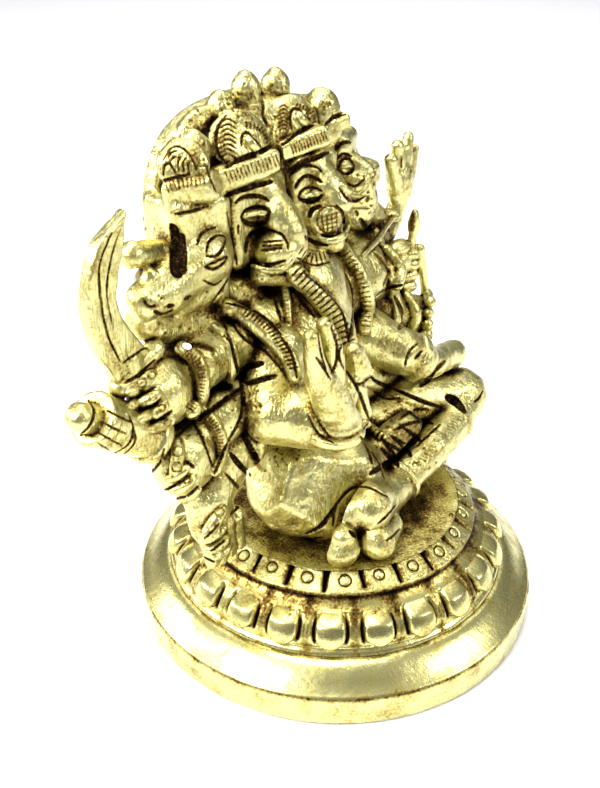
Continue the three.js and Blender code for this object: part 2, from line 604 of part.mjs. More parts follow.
function makeFigure() {
  const body = join([
    makeHalo(),
    ...makeTorso(),
    ...makeHeads(),
    ...makeCrown(),
    ...makeRightArms(),
    ...makeSword(),
    ...makeMace(),
    ...makeBlessingHand(),
    ...makeLeftArms(),
    ...makeLegs(),
  ]);
  const below = plate(square(4 * FOOT.radius, -FOOT.radius, PLINTH_TOP_Z + 1), 0, 4 * FOOT.radius);
  return body.subtract(below).add(makeSeat());
}

// The corners and faces of a solid's outer skin: its largest connected shell
function outerShell(solid) {
  const { vertProperties, triVerts } = solid.getMesh();
  const points = [];
  for (let i = 0; i < vertProperties.length; i += 3) {
    points.push(new THREE.Vector3(vertProperties[i], vertProperties[i + 1], vertProperties[i + 2]));
  }
  const owner = points.map((_, i) => i);
  const find = (i) => {
    let root = i;
    while (owner[root] !== root) root = owner[root];
    owner[i] = root;
    return root;
  };
  const faces = [];
  for (let i = 0; i < triVerts.length; i += 3) {
    const face = [triVerts[i], triVerts[i + 1], triVerts[i + 2]];
    faces.push(face);
    owner[find(face[1])] = find(face[0]);
    owner[find(face[2])] = find(face[0]);
  }
  const shells = new Map();
  for (const face of faces) {
    const root = find(face[0]);
    if (!shells.has(root)) shells.set(root, []);
    shells.get(root).push(face);
  }
  const largest = [...shells.values()].sort((a, b) => b.length - a.length)[0];
  return { points, faces: largest };
}

const flatNormal = (p, q, r) => q.clone().sub(p).cross(r.clone().sub(p));

// Squared distance of a point to the planes of a corner's faces, weighted by their area
function planeError(planes, point) {
  let sum = 0;
  for (const [normal, offset, area] of planes) sum += area * (normal.dot(point) - offset) ** 2;
  return sum;
}

// Merges corners of a closed skin, cheapest first, until it keeps only so many triangles.
// A merge is skipped where it would pinch the skin, fold a face over or leave the lowest plane.
function thin({ points, faces }, target) {
  let kept = faces.map((face) => [...face]);
  const planes = points.map(() => []);
  for (const [a, b, c] of kept) {
    const normal = flatNormal(points[a], points[b], points[c]);
    const area = normal.length();
    if (area < 1e-9) continue;
    normal.divideScalar(area);
    for (const corner of [a, b, c]) planes[corner].push([normal, normal.dot(points[a]), area]);
  }
  const floor = Math.min(...kept.flat().map((i) => points[i].z));
  let reach = 1e-4;
  while (kept.length > target && reach < 40) {
    const around = new Map();
    kept.forEach((face, f) => face.forEach((corner) => {
      if (!around.has(corner)) around.set(corner, []);
      around.get(corner).push(f);
    }));
    const facing = (corner) => around.get(corner).flatMap((f) => kept[f]);
    const ring = (corner) => new Set(facing(corner).filter((i) => i !== corner));
    const merges = [];
    for (const face of kept) {
      for (let side = 0; side < 3; side += 1) {
        const [from, to] = [face[side], face[(side + 1) % 3]];
        if (points[from].z < floor + 1e-3 && points[to].z > floor + 1e-3) continue;
        const length = points[from].distanceTo(points[to]);
        const cost = length < SHORTEST_EDGE ? 0 : planeError(planes[from], points[to]) + 1e-6 * length;
        if (cost < reach) merges.push([cost, from, to]);
      }
    }
    merges.sort((a, b) => a[0] - b[0]);
    const touched = new Set();
    let left = kept.length;
    for (const [cost, from, to] of merges) {
      if (left <= target) break;
      const near = ring(from);
      if ([from, to, ...near].some((i) => touched.has(i))) continue;
      const shared = [...near].filter((i) => ring(to).has(i));
      if (shared.length !== 2) continue;
      const moved = around.get(from).filter((f) => !kept[f].includes(to));
      const folds = cost > 0 && moved.some((f) => {
        const before = flatNormal(...kept[f].map((i) => points[i]));
        const after = flatNormal(...kept[f].map((i) => points[i === from ? to : i]));
        return after.length() < 1e-3 || before.dot(after) < 0.3 * before.length() * after.length();
      });
      if (folds) continue;
      for (const f of around.get(from)) {
        if (kept[f].includes(to)) kept[f] = null;
        else kept[f] = kept[f].map((i) => (i === from ? to : i));
      }
      planes[to] = planes[to].concat(planes[from]);
      for (const i of [from, to, ...near]) touched.add(i);
      left -= 2;
      for (const i of near) around.set(i, around.get(i).filter((f) => kept[f]));
    }
    kept = kept.filter(Boolean);
    reach *= 1.6;
  }
  return { points, faces: kept };
}

// Draws corners that lie on one another a little into the metal, so that the skin never touches itself
function partTouching({ points, faces }) {
  const inward = new Map();
  for (const face of faces) {
    const normal = flatNormal(...face.map((i) => points[i]));
    for (const i of face) {
      if (!inward.has(i)) inward.set(i, new THREE.Vector3());
      inward.get(i).sub(normal);
    }
  }
  const taken = new Set();
  for (const [i, direction] of inward) {
    const key = points[i].toArray().map((value) => value.toFixed(3)).join();
    if (taken.has(key)) points[i].addScaledVector(direction.normalize(), TOUCH_GAP);
    taken.add(key);
  }
  return { points, faces };
}

function makeMesh(name, solid, look, triangles) {
  const { points, faces } = partTouching(thin(outerShell(solid), triangles));
  const geometry = new THREE.BufferGeometry().setFromPoints(points);
  geometry.setIndex(faces.flat());
  geometry.computeVertexNormals();
  const mesh = new THREE.Mesh(geometry, new THREE.MeshStandardMaterial(look));
  mesh.name = name;
  return mesh;
}

const statue = new THREE.Group();
statue.add(makeMesh('figure', makeFigure(), BRASS, FIGURE_TRIANGLES));
statue.add(makeMesh('plinth', makePlinth(), BRASS_PLINTH, PLINTH_TRIANGLES));

export default statue;
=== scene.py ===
# %% [markdown]
# # A small brass idol, five heads and ten arms, on a lotus plinth
# The real object is two brass castings that were filed, engraved and polished, and then darkened with
# an antique finish that stays in the cuts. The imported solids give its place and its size. Here each
# casting gets its carving and its metal. Lengths are in millimetres until a mesh is written.

import math

import bmesh
import bpy
import numpy as np
import openvdb
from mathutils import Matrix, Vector


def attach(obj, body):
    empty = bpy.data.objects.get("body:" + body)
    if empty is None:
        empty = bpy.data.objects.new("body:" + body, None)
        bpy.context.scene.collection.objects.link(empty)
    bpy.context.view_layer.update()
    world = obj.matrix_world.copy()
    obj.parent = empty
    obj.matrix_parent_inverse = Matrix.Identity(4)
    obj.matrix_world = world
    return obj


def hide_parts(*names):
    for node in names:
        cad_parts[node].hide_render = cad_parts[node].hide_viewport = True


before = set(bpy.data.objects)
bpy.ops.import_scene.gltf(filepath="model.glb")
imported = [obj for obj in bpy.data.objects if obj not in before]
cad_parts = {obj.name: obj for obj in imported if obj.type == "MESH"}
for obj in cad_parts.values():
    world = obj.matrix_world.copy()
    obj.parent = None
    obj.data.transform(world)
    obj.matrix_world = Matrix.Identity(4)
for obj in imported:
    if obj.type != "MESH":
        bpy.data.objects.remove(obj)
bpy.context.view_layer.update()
MM = 0.001

# %% [markdown]
# ## The camera
# The photograph looks down on the idol from its right side. The engraving is laid out as that view
# sees it, so the eye point and its three directions are needed first, by the chisel as well as by
# the camera.

# %% Camera
EYE = np.array([-100.07, -70.73, 104.68])
SIGHT_RIGHT = np.array([0.6157, -0.7880, 0.0])
SIGHT_UP = np.array([0.3857, 0.3013, 0.8721])
SIGHT_BACK = np.array([-0.6872, -0.5369, 0.4894])
FOCAL_PX = 900.0
MIDDLE_PX = (300.0, 394.0)
FRAME_PX = (600, 788)
SENSOR_MM = 36.0

camera_data = bpy.data.cameras.new("camera")
camera_data.sensor_width = SENSOR_MM
camera_data.lens = FOCAL_PX / FRAME_PX[1] * SENSOR_MM
camera_data.clip_start, camera_data.clip_end = 0.005, 5.0
camera = bpy.data.objects.new("camera", camera_data)
bpy.context.scene.collection.objects.link(camera)
camera.location = Vector(EYE * MM)
camera.rotation_mode = "QUATERNION"
camera.rotation_quaternion = Vector(-SIGHT_BACK).to_track_quat("-Z", "Y")
bpy.context.scene.camera = camera


def sight_lines(marks):
    """Directions from the eye point through places in the photograph's frame."""
    marks = np.asarray(marks, float)
    across = (marks[:, 0] - MIDDLE_PX[0]) / FOCAL_PX
    up = (MIDDLE_PX[1] - marks[:, 1]) / FOCAL_PX
    return -SIGHT_BACK + across[:, None] * SIGHT_RIGHT + up[:, None] * SIGHT_UP


def seen(u, v, y):
    """The point that the view shows at (u, v), at the depth y of the casting."""
    line = sight_lines([(u, v)])[0]
    return EYE + (y - EYE[1]) / line[1] * line


print("lens mm", round(camera_data.lens, 2))

# %% [markdown]
# ## Clay made of distances
# A cast figure is one skin that flows from limb to limb. Separate meshes would show seams, and
# joining them by boolean leaves hard creases. A grid of distances works like clay: each lump is
# blended into the ones before it, a chisel takes away, and the skin is drawn only at the end.

# %% The clay
PITCH = 0.2
FAR = 3.0
INK_SPREAD = 0.19
LEAST_ROOM, EDGE_ROOM, CUT_ROOM = 0.6, 0.5, 0.8
CLAY_LOW = np.array([-48.6, -17.6, 14.6])
CLAY_HIGH = np.array([35.6, 17.4, 85.2])
count = np.ceil((CLAY_HIGH - CLAY_LOW) / PITCH).astype(int) + 1
axes = [(CLAY_LOW[i] + PITCH * np.arange(count[i])).astype(np.float32) for i in range(3)]
clay = np.full(count, FAR, np.float32)
# black of the finish in the cuts and stains, and painted shadow under the right knee and two headbands
dark = np.zeros(count, np.float32)


def window(low, high):
    """The slices of the grid between two corners, and the coordinates in them."""
    start = np.clip(np.floor((np.asarray(low) - CLAY_LOW) / PITCH).astype(int), 0, count - 1)
    stop = np.clip(np.ceil((np.asarray(high) - CLAY_LOW) / PITCH).astype(int) + 1, start + 1, count)
    cut = tuple(slice(a, b) for a, b in zip(start, stop))
    x, y, z = (axes[i][cut[i]] for i in range(3))
    return cut, x[:, None, None], y[None, :, None], z[None, None, :]


def soft_min(a, b, k):
    if k <= 0:
        return np.minimum(a, b)
    share = np.clip(0.5 + 0.5 * (b - a) / k, 0, 1)
    return b + (a - b) * share - k * share * (1 - share)


def add(shape, low, high, k):
    margin = max(k, LEAST_ROOM) + EDGE_ROOM
    cut, x, y, z = window(np.asarray(low) - margin, np.asarray(high) + margin)
    clay[cut] = soft_min(clay[cut], shape(x, y, z), k)


def take(shape, low, high, k=0.0, ink=0.0):
    cut, x, y, z = window(np.asarray(low) - CUT_ROOM, np.asarray(high) + CUT_ROOM)
    gap = shape(x, y, z)
    clay[cut] = -soft_min(-clay[cut], gap, k)
    if ink:
        dark[cut] = np.maximum(dark[cut], ink * np.clip(1 - gap / INK_SPREAD, 0, 1))


def limb_shape(a, b):
    a, b = np.asarray(a, float), np.asarray(b, float)
    run = b[:3] - a[:3]
    square = float(run @ run) + 1e-9

    def shape(x, y, z):
        px, py, pz = x - a[0], y - a[1], z - a[2]
        t = np.clip((px * run[0] + py * run[1] + pz * run[2]) / square, 0, 1)
        dx, dy, dz = px - t * run[0], py - t * run[1], pz - t * run[2]
        return np.sqrt(dx * dx + dy * dy + dz * dz) - (a[3] + t * (b[3] - a[3]))

    reach = max(a[3], b[3])
    return shape, np.minimum(a[:3], b[:3]) - reach, np.maximum(a[:3], b[:3]) + reach


def limb(points, k=0.8):
    """Round lengths from [x, y, z, radius] to the next."""
    for a, b in zip(points[:-1], points[1:]):
        add(*limb_shape(a, b), k)


def turned(turn=0.0, lean=0.0, roll=0.0):
    """Rows are a form's own axes: rolled about y, leaned about x, then turned about z, in degrees."""
    t, l, r = (math.radians(v) for v in (turn, lean, roll))
    about_z = np.array([[math.cos(t), math.sin(t), 0], [-math.sin(t), math.cos(t), 0], [0, 0, 1]])
    about_x = np.array([[1, 0, 0], [0, math.cos(l), math.sin(l)], [0, -math.sin(l), math.cos(l)]])
    about_y = np.array([[math.cos(r), 0, -math.sin(r)], [0, 1, 0], [math.sin(r), 0, math.cos(r)]])
    return about_y @ about_x @ about_z


def local(turn_rows, centre, x, y, z):
    px, py, pz = x - centre[0], y - centre[1], z - centre[2]
    return [row[0] * px + row[1] * py + row[2] * pz for row in turn_rows]


def egg_shape(centre, half, rows=None):
    rows = turned() if rows is None else rows
    half = np.asarray(half, float)

    def shape(x, y, z):
        p = local(rows, centre, x, y, z)
        near = np.sqrt(sum((p[i] / half[i]) ** 2 for i in range(3)))
        steep = np.sqrt(sum((p[i] / half[i] ** 2) ** 2 for i in range(3)))
        return near * (near - 1) / np.maximum(steep, 1e-4)

    reach = np.abs(rows.T) @ half
    return shape, np.asarray(centre) - reach, np.asarray(centre) + reach


def egg(centre, half, k=0.8, **turn):
    add(*egg_shape(centre, half, turned(**turn)), k)


def block_shape(centre, half, rows, rounding):
    half = np.asarray(half, float)

    def shape(x, y, z):
        p = local(rows, centre, x, y, z)
        q = [np.abs(p[i]) - (half[i] - rounding) for i in range(3)]
        outside = np.sqrt(sum(np.maximum(v, 0) ** 2 for v in q))
        return outside + np.minimum(np.maximum(np.maximum(q[0], q[1]), q[2]), 0) - rounding

    reach = np.abs(rows.T) @ half
    return shape, np.asarray(centre) - reach, np.asarray(centre) + reach


def block(centre, half, rounding=0.4, k=0.4, **turn):
    add(*block_shape(centre, half, turned(**turn), rounding), k)


def drum_shape(a, b, radius, rounding):
    """A round bar with flat ends."""
    a, b = np.asarray(a, float)[:3], np.asarray(b, float)[:3]
    axis = (b - a) / np.linalg.norm(b - a)
    middle, half = (a + b) / 2, np.linalg.norm(b - a) / 2

    def shape(x, y, z):
        px, py, pz = x - middle[0], y - middle[1], z - middle[2]
        h = px * axis[0] + py * axis[1] + pz * axis[2]
        r = np.sqrt(np.maximum(px * px + py * py + pz * pz - h * h, 0))
        q, w = r - (radius - rounding), np.abs(h) - (half - rounding)
        outside = np.sqrt(np.maximum(q, 0) ** 2 + np.maximum(w, 0) ** 2)
        return outside + np.minimum(np.maximum(q, w), 0) - rounding

    reach = radius + 0.1
    return shape, np.minimum(a, b) - reach, np.maximum(a, b) + reach


def drum(a, b, radius, rounding=0.3, k=0.2):
    add(*drum_shape(a, b, radius, rounding), k)


print("clay grid", tuple(int(c) for c in count))

# %% [markdown]
# ## The halo plate
# Behind the heads stands a flat cast plate with a rounded edge. Its outline is two curves, square
# at the idol's right shoulder and rounder at the left one, so it is measured in the plane first and
# given its thickness after.

# %% Halo
HALO = {"y": 14.0, "thick": 1.4, "edge": 0.7}
HALO_CURVES = [
    [(17.06, 44), (22.5, 53), (23.7, 60), (23.7, 66)],
    [(23.7, 66), (22, 69.5), (9.5, 77.8), (0, 80.6)],
    [(0, 80.6), (-15, 81.8), (-23.7, 79.7), (-23.7, 66)],
    [(-23.7, 66), (-23.7, 60), (-22.5, 53), (-17.06, 44)],
    [(-17.06, 44), (-6, 44), (6, 44), (17.06, 44)],
]


def bezier(points, steps=14):
    t = np.linspace(0, 1, steps, endpoint=False)[:, None]
    p = np.asarray(points, float)
    return (1 - t) ** 3 * p[0] + 3 * t * (1 - t) ** 2 * p[1] + 3 * t * t * (1 - t) * p[2] + t**3 * p[3]


def outline_distance(outline, x, z):
    """Signed distance in a plane to a closed outline."""
    best = np.full(np.broadcast(x, z).shape, 1e9, np.float32)
    inside = np.zeros(best.shape, bool)
    for a, b in zip(outline, np.roll(outline, -1, axis=0)):
        run = b - a
        t = np.clip(((x - a[0]) * run[0] + (z - a[1]) * run[1]) / (run @ run + 1e-12), 0, 1)
        best = np.minimum(best, (x - a[0] - t * run[0]) ** 2 + (z - a[1] - t * run[1]) ** 2)
        if a[1] != b[1]:
            crosses = ((a[1] > z) != (b[1] > z)) & (x < a[0] + (z - a[1]) * run[0] / run[1])
            inside ^= crosses
    return np.where(inside, -1, 1) * np.sqrt(best)


def plate(outline, y, thick, edge, k):
    """A plate in the XZ plane with rounded edges."""
    outline = np.asarray(outline, float)
    (low_x, low_z), (high_x, high_z) = outline.min(0), outline.max(0)

    def shape(xs, ys, zs):
        flat = outline_distance(outline, xs[:, 0, :], zs[0, :, :])[:, None, :] + edge
        deep = np.abs(ys - y) - (thick - edge)
        outside = np.sqrt(np.maximum(flat, 0) ** 2 + np.maximum(deep, 0) ** 2)
        return outside + np.minimum(np.maximum(flat, deep), 0) - edge

    add(shape, (low_x, y - thick, low_z), (high_x, y + thick, high_z), k)


plate(np.concatenate([bezier(c) for c in HALO_CURVES]), HALO["y"], HALO["thick"], HALO["edge"], 0.2)
print("halo", round(float((clay < 0).sum()) * PITCH**3, 0), "mm3")

# %% [markdown]
# ## Body, arms and legs
# The limbs are smooth tapered rounds that run into each other at the shoulders and hips. They follow
# the same lines as the solids, joined softly where flesh meets flesh and tightly where the real one
# has a cut.

# %% Torso and limbs
TORSO = [(-1, 4.8, 25, 10), (-2.6, 5, 36, 9.2), (-3.6, 6.2, 46, 9.2), (-3, 7.4, 53, 8.4)]
limb(TORSO, 1.0)
limb([(-13, 7.4, 50, 6.2), (13, 7.4, 50, 6.2)], 1.0)
egg((0, 9, 42), (15.5, 4.6, 20), 1.0)

ARMS = {
    "right_top": [(-13, 9, 55, 4.4), (-22, 9.4, 57, 3.6), (-27.3, 9, 60.6, 3)],
    "right_sword": [(-14, 7, 49.5, 5), (-24.5, 6.6, 49.5, 4.5), (-30.5, 6.6, 47.6, 3.6)],
    "right_mace": [(-14, 6, 43, 4.8), (-23, 4.6, 41.5, 4.6), (-29, 4.6, 38.4, 3.8)],
    "right_low": [(-13, 6, 36.5, 4.8), (-21.5, 4.2, 35.5, 4.4), (-26.6, 3, 30.5, 3.7)],
    "left_top": [(13, 9, 53, 4.4), (21.5, 9.2, 52.8, 3.4), (27.8, 8.9, 55.4, 1.9), (29, 8.6, 58.8, 1.6)],
    "left_second": [(14, 7, 47.4, 4.6), (20, 6.2, 48.2, 3.9), (23.2, 5.4, 49.6, 3.1)],
    "left_third": [(14, 6, 43.2, 4.4), (19.4, 4.4, 41.8, 3.6), (24.4, 2.6, 40.4, 3)],
    "left_low": [(13, 8, 36.5, 4.6), (21, 9, 33.5, 4), (25.5, 8.6, 28.5, 3.2)],
    "left_rest": [(11, 3, 41.5, 4.8), (13.6, -2.6, 38.8, 3.7), (16.6, -4.4, 36.9, 3.3)],
    "left_rest_hand": [(18.4, -4.8, 36, 2.6), (23.5, -5, 34.4, 2.4), (26.6, -4.7, 33.6, 2.4)],
    "blessing": [(-12.5, 3.5, 47.5, 5), (-16.8, -0.8, 41, 4.7), (-12.8, -8.6, 39.6, 3.9)],
}
for arm in ARMS.values():
    limb(arm, 0.35)
limb([(-16, 9, 53.6, 4.0), (-24, 8.6, 54.6, 3.2), (-31, 8.2, 57.4, 2.6)], 0.6)
LEGS = [
    [(7, 2, 25.5, 6.6), (20, -2.5, 26.6, 5.4), (27.8, -6.6, 25.9, 4.9)],
    [(28, -7, 25.2, 4.6), (21.6, -9.2, 24, 3.5), (13, -10.4, 23.6, 3.1), (1.5, -10.6, 22.2, 2.9)],
    [(1.5, -10.6, 22.2, 3), (-4.2, -11.2, 22.8, 3.2), (-8.2, -11.8, 24.2, 3.9)],
    [(-9.6, -9.8, 23.4, 3.7), (-6, -11, 22.6, 3.2)],
    [(-9.4, -14.4, 20.4, 3), (-5.6, -13.6, 20.2, 2.6)],
    [(-13.9, -11.2, 20.2, 2.9), (-13.8, -11.2, 21.9, 2.2)],
    [(-12, -7.6, 20, 2.6), (-3, -11, 20, 2.8)],
    [(3, -6.4, 27.2, 2.6), (10.5, -6.8, 28, 2.2)],
    [(-8, -2, 21.5, 4), (18, -5, 21.5, 3.6)],
    [(9, 3.4, 34, 5), (18, 3, 32.4, 4)],
]
for leg in LEGS:
    limb(leg, 0.3)


def flat(centre, reach, facing, depth):
    """Files a flat near a point, facing (right, up, towards the eye) of the view."""
    normal = np.asarray(facing, float) @ np.stack([SIGHT_RIGHT, SIGHT_UP, SIGHT_BACK])
    normal /= np.linalg.norm(normal)

    def shape(x, y, z):
        return depth - sum(n * (axis - c) for n, axis, c in zip(normal, (x, y, z), centre))

    take(shape, np.asarray(centre) - reach, np.asarray(centre) + reach, 0.5)


# the right knee is filed into broad flats that meet in a ridge
KNEE = (-11.4, -0.6, 25.4)
limb([(-7, 4, 27, 7.4), (*KNEE, 7.4)], 0.3)
limb([(-10, -2.4, 24.8, 6.8), (-5, -4.4, 25.4, 6.2)], 2.0)
limb([(-5, -4.4, 25.4, 5.2), (4, -4.6, 25, 4)], 0.5)
KNEE_REACH = 9.0
KNEE_FLATS = [((-0.62, 0.12, 0.78), 6.0), ((0.35, -0.15, 0.92), 5.5), ((-0.1, -0.72, 0.69), 6.3)]
for facing, depth in KNEE_FLATS:
    flat(KNEE, KNEE_REACH, facing, depth)


def armlet(arm, share, segment=0, proud=0.7, width=1.6):
    a, b = (np.asarray(p, float) for p in arm[segment : segment + 2])
    middle = a + (b - a) * share
    axis = (b - a)[:3] / np.linalg.norm((b - a)[:3])
    drum(middle[:3] - axis * width / 2, middle[:3] + axis * width / 2, middle[3] + proud, 0.5, 0.2)


for name in ("right_top", "right_sword", "right_mace", "right_low"):
    armlet(ARMS[name], 0.72)
armlet(ARMS["left_top"], 0.7)
armlet(ARMS["left_second"], 0.8, 0, 1.1, 2.6)
armlet(ARMS["left_third"], 0.9, 0, 1.0, 2.4)
armlet(ARMS["left_low"], 0.7)
armlet(ARMS["left_rest"], 0.85, 1, 0.5)
armlet(LEGS[1], 0.86, 2, 0.6)
armlet([(-13.3, -8.4, 37, 4), (-13.4, -9.2, 42, 4)], 0.5, 0, 0.5)
print("limbs", round(float((clay < 0).sum()) * PITCH**3, 0), "mm3")

# %% [markdown]
# ## Hands and what they hold
# Each closed hand is a palm with four fingers stacked along what it grips. The sword blade is a
# curved plate, and the mace is a fluted drum with a ball at its end.

# %% Hands


def unit(v):
    v = np.asarray(v, float)
    return v / np.linalg.norm(v)


def fist(centre, size, grip, front):
    grip, front = unit(grip), unit(front)
    across = np.cross(grip, front)
    centre = np.asarray(centre, float)
    egg(centre, (size, size * 0.8, size * 1.05), 0.4)
    radius = size * 0.33
    for finger in range(4):
        middle = centre + grip * (finger - 1.5) * radius * 1.75 + front * size * 0.72
        start, end = middle - across * size * 0.62, middle + across * size * 0.62
        limb([(*start, radius), (*end, radius * 0.9)], 0.08)


fist((-27.6, 9, 61), 3.1, (-0.9, 0.2, 0.3), (-0.3, -1, 0))
limb([(-31.4, 8.6, 66.2, 1.9), (-25.6, 9.8, 64.6, 1.7)], 0.3)
egg((-31.6, 5.4, 48.2), (4.9, 3.7, 4.7), 0.4)
egg((-30.2, 3.4, 38), (4.9, 3.8, 4.9), 0.4)
egg((-27, 2.4, 27.6), (3.9, 3, 5.4), 0.5)
for finger in range(4):
    x = -29.6 + finger * 1.8
    top = (x, 1.2 - 0.3 * finger, 27, 1.35)
    limb([top, (x + 0.9, 0.8, 20.4 + 0.5 * abs(finger - 1.5), 1.1)], 0.1)

# the blessing hand is seen from its edge: two finger groups, the palm, the ball and tip of the thumb
BLESSING = [
    [(311, 338, 1.25), (314, 358, 1.45), (320, 384, 1.8)],
    [(324, 325, 1.1), (331, 345, 1.3), (333, 378, 1.7)],
    [(323, 384, 2.1), (333, 406, 2.7), (343, 425, 2.6)],
    [(354, 352, 1.3), (358, 368, 1.75)],
    [(356, 386, 1.2), (363, 411, 1.3)],
]
for chain_marks in BLESSING:
    limb([(*seen(u, v, -9.4), radius) for u, v, radius in chain_marks], 0.12)
limb([(-9, -9.4, 46.6, 1.2), (-12.6, -9.4, 42.4, 1.8)], 0.12)

# the far hands: an open one, one on a rod, one on a noose, one resting on the knee
egg((29, 8.6, 61.4), (3.6, 1.9, 4.1), 0.5)
OPEN_FINGERS = [
    [(26.8, 8.2, 61, 1.5), (24.8, 8, 66, 1.1)],
    [(28, 8.6, 62.6, 1.45), (27.6, 8.6, 67.6, 1)],
    [(30, 8.6, 63, 1.45), (30.9, 8.6, 68.7, 0.75)],
    [(31.6, 8.6, 62.2, 1.35), (32.7, 8.4, 66.2, 0.75)],
]
for finger in OPEN_FINGERS:
    limb(finger, 0.1)
egg((29.8, 8.7, 64.2), (2.7, 1.2, 3.2), 0.3)
limb([(26.0, 2.2, 51.8, 0.9), (28.8, 1.6, 40.4, 0.9)], 0.1)
egg((25.3, 3.2, 56.1), (1.1, 0.9, 2.5), 0.1)
limb([(25.3, 3.2, 54.6, 0.7), (24.8, 3.4, 51.6, 0.8)], 0.1)
limb([(9.4, 2.4, 55.4, 0.5), (25.2, 7.2, 56.4, 0.5)], 0.1)
egg((25.0, 7.0, 56.8), (1.1, 1.1, 1.1), 0.1)
egg((23.2, 5, 49.6), (2.9, 2.4, 3.6), 0.4)
egg((22.8, 4.4, 52.4), (2.6, 1.9, 1.5), 0.2)
for finger in range(4):
    finger_z = 51.0 - 1.95 * finger
    limb([(22.8, 4.5, finger_z, 1.2), (25.2, 2.9, finger_z, 1.15)], 0.05)
fist((25.4, 2.4, 39.9), 3.5, (0.1, 0, 1), (0.6, -0.8, 0))
egg((27.2, -4.8, 33.4), (3.2, 2.4, 2.4), 0.4)
egg((19.6, -5.8, 35.2), (3.0, 2.3, 2.4), 0.2)
fist((26, 8.4, 27.4), 3, (0, 0, 1), (0.4, -1, 0))

# %% Sword and mace
SWORD_BACK = [(-38.4, 52.4), (-40.9, 58), (-41.4, 64), (-39.3, 69.6), (-34.2, 73)]
SWORD_EDGE = [(-35.2, 69.4), (-37, 64), (-36, 59.6), (-32.6, 54.6)]
SWORD_Y = 6.2


def smooth_line(points, steps=8):
    """Points along a smooth line through the given ones (Catmull-Rom)."""
    p = np.asarray(points, float)
    if len(p) < 3:
        t = np.linspace(0, 1, steps + 1)[:, None]
        return p[0] + (p[-1] - p[0]) * t
    p = np.concatenate([[2 * p[0] - p[1]], p, [2 * p[-1] - p[-2]]])
    t = np.linspace(0, 1, steps, endpoint=False)[:, None]
    parts = []
    for a, b, c, d in zip(p[:-3], p[1:-2], p[2:-1], p[3:]):
        bend = 2 * a - 5 * b + 4 * c - d
        parts.append(0.5 * (2 * b + (c - a) * t + bend * t**2 + (3 * b - a - 3 * c + d) * t**3))
    return np.concatenate([*parts, p[-2:-1]])


blade = np.concatenate([smooth_line(SWORD_BACK, 12), smooth_line(SWORD_EDGE, 12)])
plate(blade, SWORD_Y, 1.0, 0.45, 0.1)
limb([(-37.6, 6.2, 51.4, 1.4), (-31.4, 6.3, 54.2, 1.4)], 0.15)
limb([(-35.4, 6.4, 54.4, 1.7), (-30.5, 6.6, 42.4, 1.6)], 0.2)

drum((-28.6, 4.8, 38.4), (-36, 5, 44.4), 2.5, 0.3, 0.3)
drum((-34.4, 5, 43.1), (-35.6, 5, 44.1), 3.75, 0.4, 0.1)
drum((-35.0, 5, 43.6), (-42.8, 5, 49.8), 3.3, 0.5, 0.1)
drum((-41.9, 5, 49.1), (-43.3, 5, 50.2), 3.55, 0.5, 0.1)
limb([(-42.4, 5, 49.5, 2.0), (-44.7, 5, 50.9, 2.05)], 0.05)
print("hands", round(float((clay < 0).sum()) * PITCH**3, 0), "mm3")

# %% [markdown]
# ## Heads and crowns
# The heads are squarish carved blocks in a shallow fan. Each has a flat face under a projecting
# headband, a ridge for the nose, and above the band a leaf-shaped crown plate with lumps behind it.

# %% Crown mass and knobs
egg((-3.4, 10.4, 71.4), (18.4, 4.4, 8.8), 0.8)
egg((-14.2, 12.2, 76.8), (5, 1.9, 3.6), 0.4)
KNOBS = [
    (-6.8, 11.2, 82.3, 1.9),
    (-0.6, 11.2, 81.9, 1.85),
    (5, 7.6, 78.3, 2.7),
    (-12, 11.2, 80.6, 1.8),
    (-18.6, 9.6, 77, 1.9),
]
for x, y, z, radius in KNOBS:
    foot_end, neck, tip = (x, y, z - 3.6), (x, y, z - 0.6), (x - 0.2, y, z + 0.5)
    limb([(*foot_end, radius * 1.15), (*neck, radius), (*tip, radius * 0.6)], 0.4)

# %% Heads
BANDS = [
    {"centre": (-20.5, 8.4, 72.3), "half": (3.2, 3.6, 1.5), "turn": -56, "roll": -10},
    {"centre": (-12.6, 8.0, 73.0), "half": (5.3, 3.0, 1.65), "turn": -12.5, "roll": -6},
    {"centre": (-1.8, 7.0, 74.5), "half": (3.8, 3.4, 1.45), "turn": -23, "roll": -12.5},
    {"centre": (6.6, 7.4, 75.6), "half": (2.1, 3.2, 1.1), "turn": -22, "roll": -15},
]
FACES = [
    {"centre": (-20.4, 10.2, 65.6), "half": (4.4, 4.4, 5.6), "turn": -8},
    {"centre": (-10.4, 10.0, 65.6), "half": (5.6, 4.6, 6.2), "turn": -6},
    {"centre": (0.6, 9.0, 67.0), "half": (5.0, 4.6, 6.0), "turn": 0},
    {"centre": (8.6, 9.4, 68.2), "half": (4.0, 4.4, 5.8), "turn": 24},
]
for band in BANDS:
    block(band["centre"], band["half"], 0.75, 0.15, turn=band["turn"], roll=band["roll"])
for face in FACES:
    block(face["centre"], face["half"], 1.6, 0.5, turn=face["turn"])

# boar head, looking to the idol's right
limb([(-20.6, 8.0, 63.0, 4.4), (-27.6, 7.4, 60.9, 3.2), (-31.4, 7.2, 60.4, 2.5)], 0.8)
limb([(-20.4, 7.4, 59.6, 3.0), (-26.4, 7.2, 58.2, 2.0)], 0.5)
# second head
limb([(-8.6, 6.4, 69.0, 2.2), (-8.6, 4.6, 66.4, 2.4), (-8.7, 2.6, 64.0, 2.3)], 1.2)
egg((-9.4, 3.6, 61.9), (3.9, 3.6, 2.9), 0.5)
limb([(-12.6, 4.2, 58.9, 1.5), (-9.0, 1.8, 58.3, 1.6), (-5.6, 4.2, 58.9, 1.5)], 0.5)
